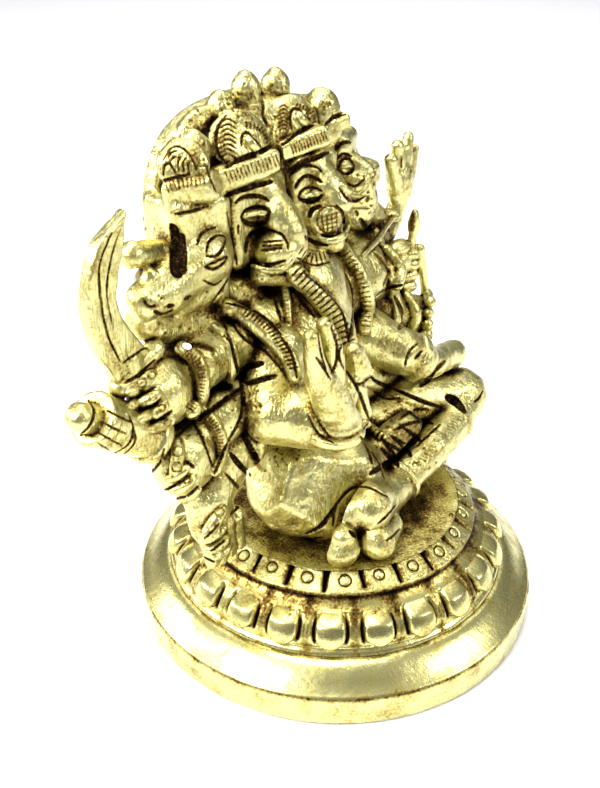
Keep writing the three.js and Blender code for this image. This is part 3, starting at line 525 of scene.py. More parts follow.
# third head
limb([(1.2, 5.6, 70.4, 2.0), (1.4, 3.8, 68.0, 2.2), (1.5, 2.0, 65.8, 2.0)], 1.2)
egg((0.4, 4.2, 63.6), (3.6, 3.1, 3.2), 0.9)
limb([(-2.4, 4.4, 60.9, 1.3), (0.8, 1.8, 60.3, 1.5), (4.2, 4.4, 60.9, 1.3)], 0.5)
# fourth head
limb([(8.8, 5.4, 70.2, 1.2), (10.4, 2.8, 68.2, 1.4)], 0.5)
egg((9.8, 4.6, 66.6), (3.2, 3.2, 2.8), 0.5, turn=24)
limb([(6.8, 4.8, 64.6, 1.3), (10.6, 3.2, 63.9, 1.3), (13.4, 6.2, 64.6, 1.2)], 0.5)
# fifth head, small and low behind the idol's left
egg((16, 9.6, 60.6), (4.4, 4.4, 5.0), 0.6)
limb([(17, 9.4, 60.0, 3.2), (22.6, 9.2, 56.8, 2.2)], 0.6)
drum((16, 9.6, 64.4), (16, 9.6, 67.4), 4.4, 0.7, 0.2)
print("heads", round(float((clay < 0).sum()) * PITCH**3, 0), "mm3")

# %% Crown plates
CROWN_PLATES = [
    {"centre": (-22.2, 8.4, 75.4), "half": (3.3, 1.4, 2.9), "turn": -46, "roll": -8},
    {"centre": (-12.6, 7.6, 76.4), "half": (4.7, 1.5, 3.8), "turn": -14, "roll": -8},
    {"centre": (-2.0, 7.4, 77.2), "half": (4.1, 1.5, 3.4), "turn": -20, "roll": -10},
]
CROWN_LEAN = -28
for crown_plate in CROWN_PLATES:
    rows = turned(turn=crown_plate["turn"], lean=CROWN_LEAN, roll=crown_plate["roll"])
    add(*egg_shape(crown_plate["centre"], crown_plate["half"], rows), 0.25)
print("crown plates", len(CROWN_PLATES))

# %% [markdown]
# ## The hand of the founder
# A wax model is never even. Two soft random fields, one about 5 mm and one about 1.5 mm wide, swell
# and sink the clay by a tenth of a millimetre, so that highlights break up as they do on a casting.

# %% Unevenness
WAVES = [(5.0, 0.16), (1.6, 0.07)]
chance = np.random.default_rng(11)


def stretch(field, axis, size):
    """Grows a coarse random field along one axis, easing between its values."""
    place = np.linspace(0, field.shape[axis] - 1.001, size)
    base = place.astype(int)
    share = place - base
    share = (share * share * (3 - 2 * share)).astype(np.float32)
    share = share.reshape([-1 if a == axis else 1 for a in range(3)])
    return np.take(field, base, axis=axis) * (1 - share) + np.take(field, base + 1, axis=axis) * share


for wave, swell in WAVES:
    coarse = chance.standard_normal(np.ceil((CLAY_HIGH - CLAY_LOW) / wave).astype(int) + 2)
    field = coarse.astype(np.float32)
    for axis in range(3):
        field = stretch(field, axis, count[axis])
    clay += field * swell
print("waves", WAVES)

# %% [markdown]
# ## Laying out the carving
# The carver worked freehand, so the cuts follow no rule. Each is given as the places where the view
# sees it. A line of sight is followed to the skin, and the tool works there, so that every cut sits
# on its own surface. Marks are dots of the view, (across, down), and widths are dots too. Cheeks that
# the view doesn't show stay plain.

# %% Finding the skin
NEAREST, FARTHEST = 95.0, 215.0
MISS_MARGIN = 2.0
BATCH = 64
SETTLING_STEPS, LONGEST_STEP = 4, 0.4


def sample(field, points):
    """Values of a grid at points, weighted between its eight nearest places."""
    place = np.clip((points - CLAY_LOW) / PITCH, 0, count - 1.001)
    base = place.astype(int)
    part = place - base
    total = np.zeros(len(points))
    for corner in range(8):
        step = np.array([corner >> 2 & 1, corner >> 1 & 1, corner & 1])
        weight = np.prod(np.where(step, part, 1 - part), axis=1)
        index = base + step
        total += weight * field[index[:, 0], index[:, 1], index[:, 2]]
    return total


def reach_skin(marks):
    """Where lines of sight meet the skin, how far that is, and whether they do."""
    lines = sight_lines(marks)
    far = np.full(len(lines), FARTHEST)
    steps = np.arange(NEAREST, FARTHEST, PITCH * 0.8)
    open_lines = np.arange(len(lines))
    for first in range(0, len(steps), BATCH):
        some = steps[first : first + BATCH]
        points = EYE + lines[open_lines, None, :] * some[None, :, None]
        index = np.round((points - CLAY_LOW) / PITCH).astype(int)
        inside = np.all((index >= 0) & (index < count), axis=2)
        index = np.clip(index, 0, count - 1)
        value = np.where(inside, clay[index[..., 0], index[..., 1], index[..., 2]], FAR)
        met = (value < 0).any(axis=1)
        far[open_lines[met]] = some[(value[met] < 0).argmax(axis=1)]
        open_lines = open_lines[~met]
        if not len(open_lines):
            break
    for _ in range(SETTLING_STEPS):
        far -= np.clip(-sample(clay, EYE + lines * far[:, None]), -LONGEST_STEP, LONGEST_STEP)
    return EYE + lines * far[:, None], far, far < FARTHEST - MISS_MARGIN


def outward(points):
    """Directions that point out of the metal."""
    step = np.eye(3) * PITCH
    slope = np.stack([sample(clay, points + s) - sample(clay, points - s) for s in step], axis=1)
    return slope / np.maximum(np.linalg.norm(slope, axis=1), 1e-6)[:, None]


def even_line(path, gap=1.2):
    """A smooth line through marks, with points about one picture dot apart."""
    line = smooth_line(path, 10)
    run = np.concatenate([[0], np.cumsum(np.linalg.norm(np.diff(line, axis=0), axis=1))])
    places = np.linspace(0, run[-1], max(2, int(run[-1] / gap) + 1))
    return np.stack([np.interp(places, run, line[:, i]) for i in range(2)], axis=1)


# %% Tools that follow the skin
JUMP = 1.3
TOOL_WEAR = 0.92
END_WIDTH = 0.45
RAISED_BLEND = 0.12


def follow(strokes, work):
    """Runs work(stroke, a, b, radius_a, radius_b, normal) along strokes of (width, path, *rest)."""
    lines = [even_line(s[1]) for s in strokes]
    points, far, met = reach_skin(np.concatenate(lines))
    normals = outward(points)
    first = 0
    for stroke, line in zip(strokes, lines):
        last = first + len(line)
        share = np.linspace(0, 1, len(line))
        swell = END_WIDTH + (1 - END_WIDTH) * np.sqrt(np.sin(np.pi * share))
        if "even" in stroke:
            swell[:] = 1
        radius = stroke[0] / 2 * far[first:last] / FOCAL_PX * swell
        for i in range(first, last - 1):
            a, b = points[i], points[i + 1]
            if met[i] and met[i + 1] and np.linalg.norm(b - a) < JUMP:
                work(stroke, a, b, radius[i - first], radius[i + 1 - first], normals[i])
        first = last


def cut_work(stroke, a, b, ra, rb, normal):
    shape, low, high = limb_shape((*a, ra * TOOL_WEAR), (*b, rb * TOOL_WEAR))
    take(shape, low, high, 0.0, stroke[2] if len(stroke) > 2 else 1.0)


def raise_work(stroke, a, b, ra, rb, normal):
    lift = normal * ra * stroke[2]
    shape, low, high = limb_shape((*(a + lift), ra), (*(b + lift), rb))
    add(shape, low, high, RAISED_BLEND)


# darkens the grid along a stroke, for stains and for painted shadow
def stain_and_shade_work(stroke, a, b, ra, rb, normal):
    shape, low, high = limb_shape((*a, 0.0), (*b, 0.0))
    cut, x, y, z = window(low - ra, high + ra)
    near_line = np.clip(1.25 - shape(x, y, z) / max(ra, 0.2), 0, 1)
    dark[cut] = np.maximum(dark[cut], stroke[2] * near_line)


def ticks(path, spacing, length, width, ink=1.0, slant=90.0):
    """Short cuts across a line, as a file leaves on a band or a rope."""
    line = even_line(path, spacing)
    run = np.gradient(line, axis=0)
    angle = np.arctan2(run[:, 1], run[:, 0]) + math.radians(slant)
    half = np.stack([np.cos(angle), np.sin(angle)], axis=1) * length / 2
    return [(width, [p - h, p + h], ink) for p, h in zip(line, half)]


def loop(u, v, half_u, half_v, width, ink):
    """A ring about (u, v)."""
    angle = np.linspace(0, 2 * math.pi, 13)
    path = [(u + half_u * math.cos(a), v + half_v * math.sin(a)) for a in angle]
    return (width, path, ink, "even")


print("tools ready")

# %% Raised work: fingers, ropes, rims
RAISED = [
    # sword hand, mace hand and low hand, finger by finger
    (13, [(127, 393), (140, 384), (154, 374)], 0.45),
    (12, [(130, 407), (145, 401), (159, 393)], 0.45),
    (12, [(140, 419), (153, 413), (166, 405)], 0.45),
    (11, [(150, 430), (162, 425), (173, 417)], 0.45),
    (13, [(176, 440), (178, 455), (174, 475)], 0.4),
    (10, [(166, 480), (178, 474), (188, 466)], 0.4),
    (10, [(170, 491), (182, 486), (194, 476)], 0.4),
    (10, [(176, 500), (188, 496), (199, 487)], 0.4),
    (14, [(222, 508), (212, 523), (204, 536)], 0.4),
    (11, [(201, 540), (212, 535), (224, 526)], 0.4),
    (11, [(206, 550), (217, 545), (227, 536)], 0.4),
    (9, [(212, 557), (222, 552), (230, 544)], 0.4),
    # bracelets of the sword arm and the mace arm
    (15, [(183, 350), (196, 361), (201, 378), (198, 396), (189, 411)], 0.45, "even"),
    (12, [(203, 412), (214, 424), (220, 440), (219, 456), (213, 470)], 0.4, "even"),
    # ropes over the chest
    (17, [(226, 306), (252, 323), (272, 340), (286, 357), (293, 376)], 0.4, "even"),
    (20, [(294, 274), (310, 290), (326, 308), (338, 326), (344, 342)], 0.45, "even"),
    (8, [(285, 287), (287, 304), (288, 322)], 0.5, "even"),
    (15, [(343, 252), (357, 275), (365, 300), (364, 328)], 0.4, "even"),
    # belt end
    (9, [(364, 424), (373, 431), (383, 438)], 0.4, "even"),
    # eyeballs, and the drops on the crown plates
    (7, [(246, 215.5), (256, 212.5), (266, 213.5)], 0.35),
    (6, [(303, 197), (311, 194), (319, 194)], 0.35),
    (5, [(341, 167), (347, 165), (352, 167)], 0.4),
    (13, [(247, 139), (252, 145), (256, 150)], 0.3),
    (11, [(297, 115), (301, 120), (304, 124)], 0.3),
    # lower lips and chin rims
    (8, [(252, 266), (266, 270), (282, 268), (293, 258)], 0.3),
    (7, [(318, 238), (331, 241), (343, 236), (348, 226)], 0.3),
    (6, [(341, 184), (350, 193), (360, 194), (367, 187)], 0.3),
    # far bracelets
    (11, [(384, 250), (393, 259), (399, 271), (396, 285)], 0.35, "even"),
    (11, [(403, 294), (411, 305), (414, 317), (409, 329)], 0.35, "even"),
]
follow(RAISED, raise_work)
print("raised strokes", len(RAISED))

# %% Engraved lines
CUTS = [
    # first head
    (3, [(197, 245), (202, 233), (216, 227)]),
    (3, [(206, 253), (209, 242), (218, 235), (226, 237)]),
    (3, [(206, 256), (216, 256), (223, 248), (226, 239)]),
    (2.5, [(204, 267), (215, 262), (227, 256)]),
    (3, [(204, 267), (214, 269), (224, 263), (228, 257)]),
    (3.5, [(175, 214), (192, 211), (209, 206)]),
    (2.5, [(203, 280), (214, 285), (222, 280)]),
    (3, [(210, 306), (220, 292), (231, 275)]),
    (2.5, [(227, 212), (232, 238), (237, 265)]),
    (5, [(168, 306), (174, 306)]),
    (5, [(185, 299), (191, 297)]),
    (4, [(154, 311), (162, 315), (173, 310)]),
    (2.5, [(143, 299), (148, 306), (158, 306)]),
    (14, [(173, 230), (176, 250), (177, 272)], 1.0, "even"),
    (9, [(181, 238), (183, 255), (183, 270)], 1.0, "even"),
    # second head
    (6, [(226, 167), (239, 160), (260, 152), (273, 145)]),
    # painted shadow: a wide black cut under the second head's band
    (6, [(225, 196), (240, 190), (256, 186), (272, 181)]),
    (4.5, [(235, 203), (243, 197.5), (253, 196), (263, 197.5), (269, 201)]),
    (4, [(241, 217), (246, 210.5), (254, 207.5), (263, 207.5), (270, 212)]),
    (5.5, [(242, 219), (248, 223.5), (257, 224.5), (265, 221), (269, 213)]),
    (2.5, [(238, 225), (239, 234)]),
    (6, [(246, 252), (247.5, 241), (253, 233.5), (263, 229.7)]),
    (3, [(262, 229), (273, 231), (282, 235), (287.5, 243), (288, 249)]),
    (2.8, [(262, 242), (272, 241), (282, 240.5)]),
    (2, [(261, 246), (272, 245.5), (283, 244.5)]),
    (2.8, [(260, 250.5), (271, 249.5), (282, 248)]),
    (5, [(252, 262), (263, 265), (273, 264.7), (285, 261)]),
    (5, [(305, 236.5), (315, 243), (328, 245)]),
    # third head
    (6, [(281, 145), (292, 137), (304, 130), (313, 125)]),
    # painted shadow: a wide black cut under the third head's band
    (6, [(288, 171), (301, 163), (314, 158), (329, 152)]),
    (3, [(288, 177), (295, 171), (305, 166), (316, 167), (322, 172)]),
    (4, [(295, 188), (300, 180), (309, 176), (322, 182)]),
    (3.2, [(298, 197), (303, 190), (312, 187.5), (322, 191)]),
    (4.5, [(299, 198.5), (305, 201), (314, 201), (322.5, 195)]),
    (5.5, [(309, 217), (311.5, 210), (321, 205)]),
    (3, [(336, 205), (342.5, 213), (344, 224)]),
    (4, [(321.5, 235), (330, 237), (340, 232.5)]),
    (2.5, [(297, 258), (314, 265), (330, 262)]),
    # fourth head
    (4, [(325, 125), (334, 117), (346, 114)]),
    (4, [(335, 150), (342, 143), (351, 142)]),
    (3, [(336, 159), (343, 154), (352, 156)]),
    (3, [(338, 168), (342, 160), (349, 159), (354, 165)]),
    (3, [(338, 169), (344, 174), (351, 172), (354, 166)]),
    (2.5, [(346, 183), (355, 186), (365, 179)]),
    (3, [(339, 188), (347, 198), (356, 201), (366, 196)]),
    # crown plates
    (3.2, [(226, 115), (218, 127), (216, 143), (219, 155), (228, 165)]),
    (2.8, [(241, 146), (242, 137), (246, 132), (254, 138), (262, 148)]),
    (3.2, [(264, 104), (263.5, 116), (268, 127)]),
    (2.8, [(292, 130), (290, 118), (293, 109), (301, 111), (311, 121)]),
    (3.5, [(162, 181), (174, 178), (190, 174)]),
    (2.4, [(163, 176), (165, 165), (171, 165), (176, 174)]),
    (2.2, [(163, 160), (171, 148), (180, 147), (190, 155), (197, 170)]),
    (1.9, [(179, 172), (178, 162), (182, 156)]),
    (1.9, [(184, 172), (183, 162), (187, 158)]),
    (1.9, [(189, 172), (188, 164), (191, 161)]),
    (1.9, [(168, 158), (172, 152), (177, 151)]),
    (1.9, [(170, 162), (174, 157), (178, 157)]),
    (2.5, [(206, 165), (210, 178), (217, 193)]),
    # sword
    (2.5, [(112, 232), (100, 265), (101, 300), (108, 335), (121, 363)]),
    (2, [(121, 228), (112, 255), (107, 290), (112, 325)]),
    (2.5, [(122, 364), (134, 355), (147, 347)]),
    (4, [(124, 383), (139, 375), (155, 360)]),
    # sword hand
    (4, [(131, 399), (143, 394), (155, 387)]),
    (4, [(137, 411), (148, 407), (160, 400)]),
    (4, [(150, 423), (161, 419), (172, 411)]),
    # mace
    (2, [(106, 410), (118, 416), (131, 422)]),
    (2, [(100, 421), (113, 428), (127, 434)]),
    (2, [(96, 431), (109, 439), (122, 446)]),
    (2, [(97, 443), (104, 447), (110, 451)]),
    (3.5, [(88, 400), (94, 410), (91, 424), (80, 436)]),
    (2.5, [(129, 415), (133, 427), (128, 445), (103, 459)]),
    (2.5, [(134, 427), (135, 442), (126, 453), (114, 461)]),
    (3, [(164, 449), (161, 460), (150, 473), (139, 475)]),
    # mace hand
    (2.5, [(163, 491), (172, 487), (182, 480)]),
    (3, [(173, 499), (183, 497), (190, 494), (199, 485)]),
    (4, [(186, 461), (189, 464), (194, 467)]),
    # low hand
    (4.5, [(190, 531), (193, 545), (200, 555), (214, 562)]),
    (2.5, [(204, 539), (213, 531), (220, 523)]),
    (2.5, [(211, 551), (218, 546), (225, 540)]),
    (3, [(225, 473), (236, 485), (247, 497)]),
    (3, [(230, 515), (238, 506), (241, 498)]),
    # the deep line between the arms and the body
    (
        4.5,
        [(219, 311), (230, 339), (237, 366), (242, 386), (243, 408), (238, 424), (226, 447), (214, 474)],
    ),
    (7, [(238, 370), (250, 366), (263, 363)]),
    (6, [(245, 384), (260, 380), (276, 376)]),
    (9, [(243, 434), (251, 448), (258, 464)]),
    (6, [(230, 453), (239, 464), (250, 475)]),
    (5, [(176, 437), (192, 421), (212, 409), (240, 388)]),
    (3.5, [(190, 419), (202, 437), (213, 467)]),
    # rope grooves
    (3.5, [(226, 303), (247, 308), (270, 322), (286, 343), (293, 357), (297, 378)]),
    (3.5, [(226, 314), (244, 338), (266, 352), (284, 372)]),
    (4.5, [(290, 283), (301, 300), (315, 317)]),
    (4, [(304, 272), (327, 292), (343, 313), (349, 342)]),
    (3.5, [(275, 299), (281, 320)]),
    (3, [(291, 287), (292, 304), (293, 323)]),
    (3, [(339, 262), (350, 283), (353, 305), (350, 338)]),
    # blessing hand
    (2.5, [(316, 357), (323, 367), (331, 380)]),
    (3, [(331, 327), (337, 345), (336, 362), (331, 374)]),
    (2.5, [(318, 333), (321, 352), (327, 372)]),
    (3.5, [(342, 365), (356, 386), (363, 403), (369, 419)]),
    (3, [(344, 344), (339, 352), (342, 366)]),
    (2.5, [(352, 382), (360, 384), (369, 378)]),
    (2.5, [(308, 415), (318, 433), (334, 443)]),
    (2, [(315, 414), (322, 427), (331, 438)]),
    # left knee, shin, foot
    (5, [(420, 386), (430, 378), (438, 365)]),
    (11, [(447, 397), (456, 402), (465, 411)]),
    (4.5, [(371, 377), (379, 383), (402, 392), (422, 401), (443, 408)]),
    (3, [(474, 402), (479, 398), (483, 391)]),
    (4, [(415, 359), (422, 351)]),
    (3, [(333, 526), (336, 507), (350, 490), (367, 487), (388, 497)]),
    (3.5, [(378, 524), (388, 515), (396, 505)]),
    (2.5, [(386, 541), (394, 535), (400, 529)]),
    (6, [(350, 531), (355, 535), (361, 538)]),
    (4, [(381, 448), (389, 457), (398, 467)]),
    (3, [(388, 443), (396, 448), (405, 454)]),
    # painted shadow: black cuts along the lower edge of the right knee and under it, where it stands
    # clear of the seat
    (5, [(338, 503), (330, 515), (320, 527), (306, 534)]),
    (6, [(281, 537), (300, 541), (322, 538)]),
    # folds and belt in the lap
    (5, [(383, 440), (392, 452), (398, 466)]),
    (5, [(392, 436), (404, 446), (411, 456)]),
    (4, [(372, 452), (380, 465), (384, 478)]),
    (4, [(400, 424), (412, 434), (421, 442)]),
    (4, [(408, 411), (420, 419), (433, 424)]),
    (6, [(370, 474), (386, 464), (401, 456)]),
    (4, [(361, 437), (368, 450), (372, 463)]),
    (3, [(415, 447), (427, 436), (440, 424)]),
    (3, [(398, 420), (412, 411), (428, 409)]),
    (3, [(394, 430), (410, 423), (425, 421)]),
    (3, [(374, 392), (386, 398), (400, 398)]),
    # far arms
    (6, [(360, 219), (367, 229), (376, 226)], 0.8),
    (7, [(376, 254), (384, 262), (388, 273), (384, 285)], 0.8),
    (7, [(395, 297), (401, 309), (404, 320), (399, 329)], 0.8),
    (3.5, [(376, 296), (389, 288), (403, 285)]),
    (4, [(400, 172), (401, 164), (401, 156)], 0.7),
    (4, [(410, 179), (411, 171), (412, 164)], 0.7),
    (3.5, [(384, 158), (389, 154)], 0.8),
    (5, [(445, 361), (435, 371), (424, 382)], 0.9),
    (3, [(418, 343), (409, 352), (405, 366)], 0.9),
    (3.5, [(363, 158), (372, 163), (377, 175)], 0.6),
]
RINGS = [
    # knuckles of the hands on the idol's right
    (142, 383, 4.6, 4.6, 1.9, 0.7),
    (152, 375, 4, 4, 1.9, 0.7),
    (153, 397, 3.5, 4, 1.9, 0.7),
    (162, 408, 3.5, 4, 1.9, 0.7),
    (168, 423, 3.5, 3.5, 1.9, 0.7),
    (178, 451, 5.5, 5.5, 1.9, 0.65),
    (177, 467, 5, 5, 2.0, 0.75),
    (187, 480, 3.2, 4.2, 1.9, 0.7),
    (220, 512, 4.5, 5, 1.9, 0.65),
    (211, 527, 4.5, 5, 1.9, 0.65),
    (223, 532, 3, 3.5, 1.8, 0.65),
    # blessing hand, and the third head's muzzle
    (347, 399, 3, 4, 1.4, 0.6),
    (330, 220, 13, 14, 2, 0.8),
]
CUTS += [loop(*ring) for ring in RINGS]
TICKED = [
    # path, then spacing, length, width, ink and, unless it is square to the path, slant
    ([(228, 178), (250, 169), (268, 163), (281, 158)], 3.6, 14, 1.5, 0.85),
    ([(292, 149), (308, 143), (326, 136)], 3.3, 11, 1.5, 0.85),
    ([(167, 188), (180, 184), (204, 180)], 3.8, 11, 1.6, 0.9),
    ([(186, 352), (197, 363), (201, 379), (198, 396), (190, 409)], 3.4, 11, 1.5, 0.9),
    ([(205, 415), (215, 426), (220, 441), (219, 456)], 3.2, 9, 1.4, 0.9),
    ([(366, 426), (374, 432), (382, 437)], 4.0, 8, 2.0, 1.0),
    ([(246, 311), (268, 325), (284, 347), (293, 368)], 4.2, 11, 1.7, 1.0, 100.0),
    ([(296, 272), (312, 288), (328, 306), (340, 325), (347, 342)], 5.4, 17, 1.8, 1.0),
    ([(346, 254), (359, 276), (366, 300), (365, 326)], 4.6, 12, 1.6, 0.8),
    ([(285, 288), (288, 322)], 4.0, 5, 1.4, 0.8),
    ([(301, 251), (314, 258), (329, 254)], 4.2, 9, 2.2, 0.9),
    ([(316, 417), (328, 437)], 4.0, 5, 1.6, 0.9),
    ([(247, 125), (260, 128), (269, 141)], 3.3, 7, 1.5, 1.0),
    ([(297, 105), (309, 110), (315, 122)], 3.3, 5, 1.4, 1.0),
    ([(404, 482), (424, 458), (446, 432), (462, 414)], 3.2, 9, 1.3, 0.6, 60.0),
    ([(262, 420), (285, 433), (310, 441)], 3.0, 12, 1.0, 0.35, 100.0),
    ([(330, 470), (322, 492), (308, 512)], 3.2, 12, 0.9, 0.3, 80.0),
]
for ticked in TICKED:
    CUTS += ticks(*ticked)
CURLS = [
    # how many are stacked on a crown plate, how far apart, width, ink and the path of the top one
    (8, 5.0, 1.7, 1.0, [(220, 123), (228, 119), (237, 124)]),
    (7, 3.9, 1.6, 0.9, [(278, 108), (284, 105), (289, 109)]),
]
for number, drop, width, ink, path in CURLS:
    for step in range(number):
        CUTS.append((width, [(u, v + drop * step) for u, v in path], ink))
# the squared pattern on the third head's muzzle
MUZZLE_LINES = 4
for step in range(MUZZLE_LINES):
    CUTS.append((1.5, [(320 + 0.5 * step, 217.5 + 4.3 * step), (338, 213.0 + 4.3 * step)], 0.8, "even"))
    CUTS.append((1.5, [(322 + 4.7 * step, 215.5 - step), (323.5 + 4.7 * step, 232 - step)], 0.8, "even"))
follow(CUTS, cut_work)
print("engraved strokes", len(CUTS))

# %% Punched ground, stains and painted shade
GROUNDS = [
    (193, 133, 219, 172, 80),
    (236, 92, 264, 122, 70),
    (264, 114, 278, 138, 26),
    (212, 88, 234, 112, 30),
    (238, 76, 262, 100, 12),
    (264, 70, 288, 96, 16),
    (306, 90, 338, 118, 16),
    (180, 105, 212, 135, 30),
    (305, 86, 338, 120, 24),
    (150, 285, 225, 345, 60),
    (228, 272, 262, 300, 40),
    (228, 390, 262, 450, 50),
    (352, 255, 364, 330, 20),
    (366, 400, 440, 470, 110),
    (262, 536, 330, 560, 40),
    (176, 420, 205, 440, 16),
    (134, 200, 172, 235, 14),
    (354, 172, 388, 216, 60),
    (262, 448, 300, 470, 30),
    (240, 375, 262, 425, 30),
    (200, 330, 235, 420, 40),
]
PUNCHES = []
for u0, v0, u1, v1, number in GROUNDS:
    for u, v in chance.uniform((u0, v0), (u1, v1), (number, 2)):
        lean = chance.uniform(-2.4, 2.4, 2)
        PUNCHES.append((float(chance.uniform(2.0, 3.8)), [(u, v), (u + lean[0], v + lean[1])], 0.75))
follow(PUNCHES, cut_work)
# dark patches laid along strokes: brown film over the arms, crowns and lap, darker bands along the
# crevices, and painted shadow under the right knee
STAINS_AND_SHADE = [
    (34, [(150, 372), (185, 370), (215, 362)], 0.3),
    (30, [(165, 405), (200, 425), (225, 450)], 0.34),
    (34, [(160, 460), (190, 480), (215, 470)], 0.3),
    (28, [(226, 480), (222, 510), (212, 545)], 0.3),
    (26, [(232, 320), (262, 350), (284, 385)], 0.25),
    (30, [(240, 205), (238, 250), (262, 285)], 0.22),
    (24, [(290, 190), (306, 220), (312, 250)], 0.22),
    (30, [(135, 330), (165, 325), (215, 318)], 0.42),
    (22, [(150, 300), (190, 325), (228, 335)], 0.4),
    (20, [(230, 285), (262, 296), (300, 335)], 0.5),
    (16, [(240, 425), (248, 450), (262, 470)], 0.6),
    (14, [(353, 268), (356, 300), (352, 335)], 0.65),
    (40, [(372, 462), (396, 440), (430, 418)], 0.55),
    # painted shadow under the right knee, where it stands clear of the seat
    (26, [(262, 545), (300, 548), (330, 540)], 0.7),
    (12, [(176, 432), (205, 415), (240, 392)], 0.7),
    (18, [(246, 96), (258, 116), (290, 128)], 0.4),
    (18, [(200, 140), (214, 160), (222, 172)], 0.4),
    (10, [(360, 385), (380, 392), (430, 412)], 0.6),
    (16, [(186, 346), (200, 345), (214, 350)], 0.8),
    (8, [(392, 215), (378, 234), (364, 251)], 0.8),
    (12, [(412, 208), (412, 230)], 0.7),
    (26, [(262, 455), (285, 450), (300, 462)], 0.4),
    (30, [(245, 380), (255, 405), (250, 430)], 0.45),
    (24, [(372, 180), (380, 205), (376, 222)], 0.45),
    (34, [(374, 402), (396, 408), (426, 416)], 0.5),
    (12, [(252, 88), (248, 100)], 0.5),
    (14, [(268, 78), (270, 92)], 0.5),
    (12, [(312, 108), (322, 112)], 0.5),
]
follow(STAINS_AND_SHADE, stain_and_shade_work)
print("punch marks", len(PUNCHES), "stains_and_shade", len(STAINS_AND_SHADE))

# %% The casting flaw between two arms
FLAW_MARKS = [(185.4, 345.6), (188.6, 346.8)]
FLAW_REACH = (104, 150)
FLAW_RADII = (0.36, 0.52)
for line in sight_lines(FLAW_MARKS):
    ends = [(*(EYE + line * far), radius) for far, radius in zip(FLAW_REACH, FLAW_RADII)]
    take(*limb_shape(*ends), 0.15, 0.9)
print("holes that make the flaw", len(FLAW_MARKS))

# %% [markdown]
# ## The skin
# The distance grid goes to OpenVDB, which ships with Blender and draws the closed surface where the
# distance is nothing. The casting is large, so it is drawn in parts that overlap by a hair inside
# the metal. Each part is thinned, because a flat back needs fewer faces than a carved face. How
# much metal lies around a place tells how hollow it is. Hollows are where a polishing mop leaves the
# dark finish alone, and also where shade falls, so the darkening worked out from them is patina and
# painted shade together.

# %% How deep each place lies
OVERLAP = 0.4
TUCK = 0.04
SLIVER = 0.001
FLAP_ROUNDS = 3
NEAR_REACH, WIDE_REACHES = 0.7, (1.4, 1.6)
NEAR_HOLLOW, WIDE_HOLLOW = (0.54, 0.26), (0.5, 0.3)
SWORD_CUT_X, SWORD_CUT_Z, SWORD_CUT_LEAN = -34.7, 60, 0.077
HEADS_Z = 58.5
SIDE_X = (-16.0, 12.0)
HALO_FRONT_Y, HALO_LOW_Z = 12.45, 43.2


def box_blur(field, radius):
    """A running mean along each axis in turn."""
    reach = max(1, int(round(radius / PITCH)))
    out = field
    for axis in range(3):
        widths = [(reach + 1, reach) if a == axis else (0, 0) for a in range(3)]
        total = np.cumsum(np.pad(out, widths, mode="edge"), axis=axis, dtype=np.float32)
        size = 2 * reach + 1
        ahead = np.take(total, range(size, total.shape[axis]), axis=axis)
        behind = np.take(total, range(0, total.shape[axis] - size), axis=axis)
        out = (ahead - behind) / size
    return out


metal = np.clip(0.5 - clay / (2 * PITCH), 0, 1)
near_metal = box_blur(metal, NEAR_REACH)
# the wide reach darkens whole recesses between parts: painted shade there as well as patina
wide_metal = box_blur(box_blur(metal, WIDE_REACHES[0]), WIDE_REACHES[1])
near_hollow = (near_metal - NEAR_HOLLOW[0]) / NEAR_HOLLOW[1]
wide_hollow = (wide_metal - WIDE_HOLLOW[0]) / WIDE_HOLLOW[1]
# how dark each place is made: antique finish kept in the hollows, and painted shade of the hollows
patina_and_shade = np.clip(np.maximum(near_hollow, wide_hollow), 0, 1)
grid_x, grid_y, grid_z = axes[0][:, None, None], axes[1][None, :, None], axes[2][None, None, :]
print("hollow share of the grid", round(float((patina_and_shade > 0.5).mean()), 3))

# %% Draw the skin
halo_only = np.maximum(HALO_FRONT_Y - grid_y, HALO_LOW_Z - grid_z)
sword_only = grid_x - SWORD_CUT_X - (grid_z - SWORD_CUT_Z) * SWORD_CUT_LEAN
below_heads = np.minimum(grid_z - HEADS_Z, sword_only)
between_sides = np.maximum(SIDE_X[0] - grid_x, grid_x - SIDE_X[1])
PARTS = {
    "figure_halo": (halo_only, 40000),
    "figure_heads": (np.maximum(-below_heads, -halo_only), 165000),
    "figure_right": (np.maximum(np.maximum(below_heads, grid_x - SIDE_X[0]), -halo_only), 165000),
    "figure_left": (np.maximum(np.maximum(below_heads, SIDE_X[1] - grid_x), -halo_only), 120000),
    "figure_body": (np.maximum(np.maximum(below_heads, between_sides), -halo_only), 165000),
}


def link(name, mesh):
    made = bpy.data.objects.new(name, mesh)
    bpy.context.scene.collection.objects.link(made)
    return made


def bake(piece):
    """Keeps what the modifiers make and takes the modifiers off."""
    view = bpy.context.evaluated_depsgraph_get()
    made = bpy.data.meshes.new_from_object(piece.evaluated_get(view), depsgraph=view)
    made.name = piece.name
    piece.modifiers.clear()
    piece.data = made
    return made


def doubled_faces(work):
    """Faces that lie on each other, back to back."""
    places = np.array([point.co[:] for point in work.verts]) / (MM * SLIVER)
    _, same = np.unique(np.round(places), axis=0, return_inverse=True)
    corners = [[point.index for point in face.verts] for face in work.faces]
    corners = np.sort(same.ravel()[np.array(corners)], axis=1)
    _, kind, count = np.unique(corners, axis=0, return_inverse=True, return_counts=True)
    return [face for face, alike in zip(work.faces, count[kind.ravel()]) if alike > 1]


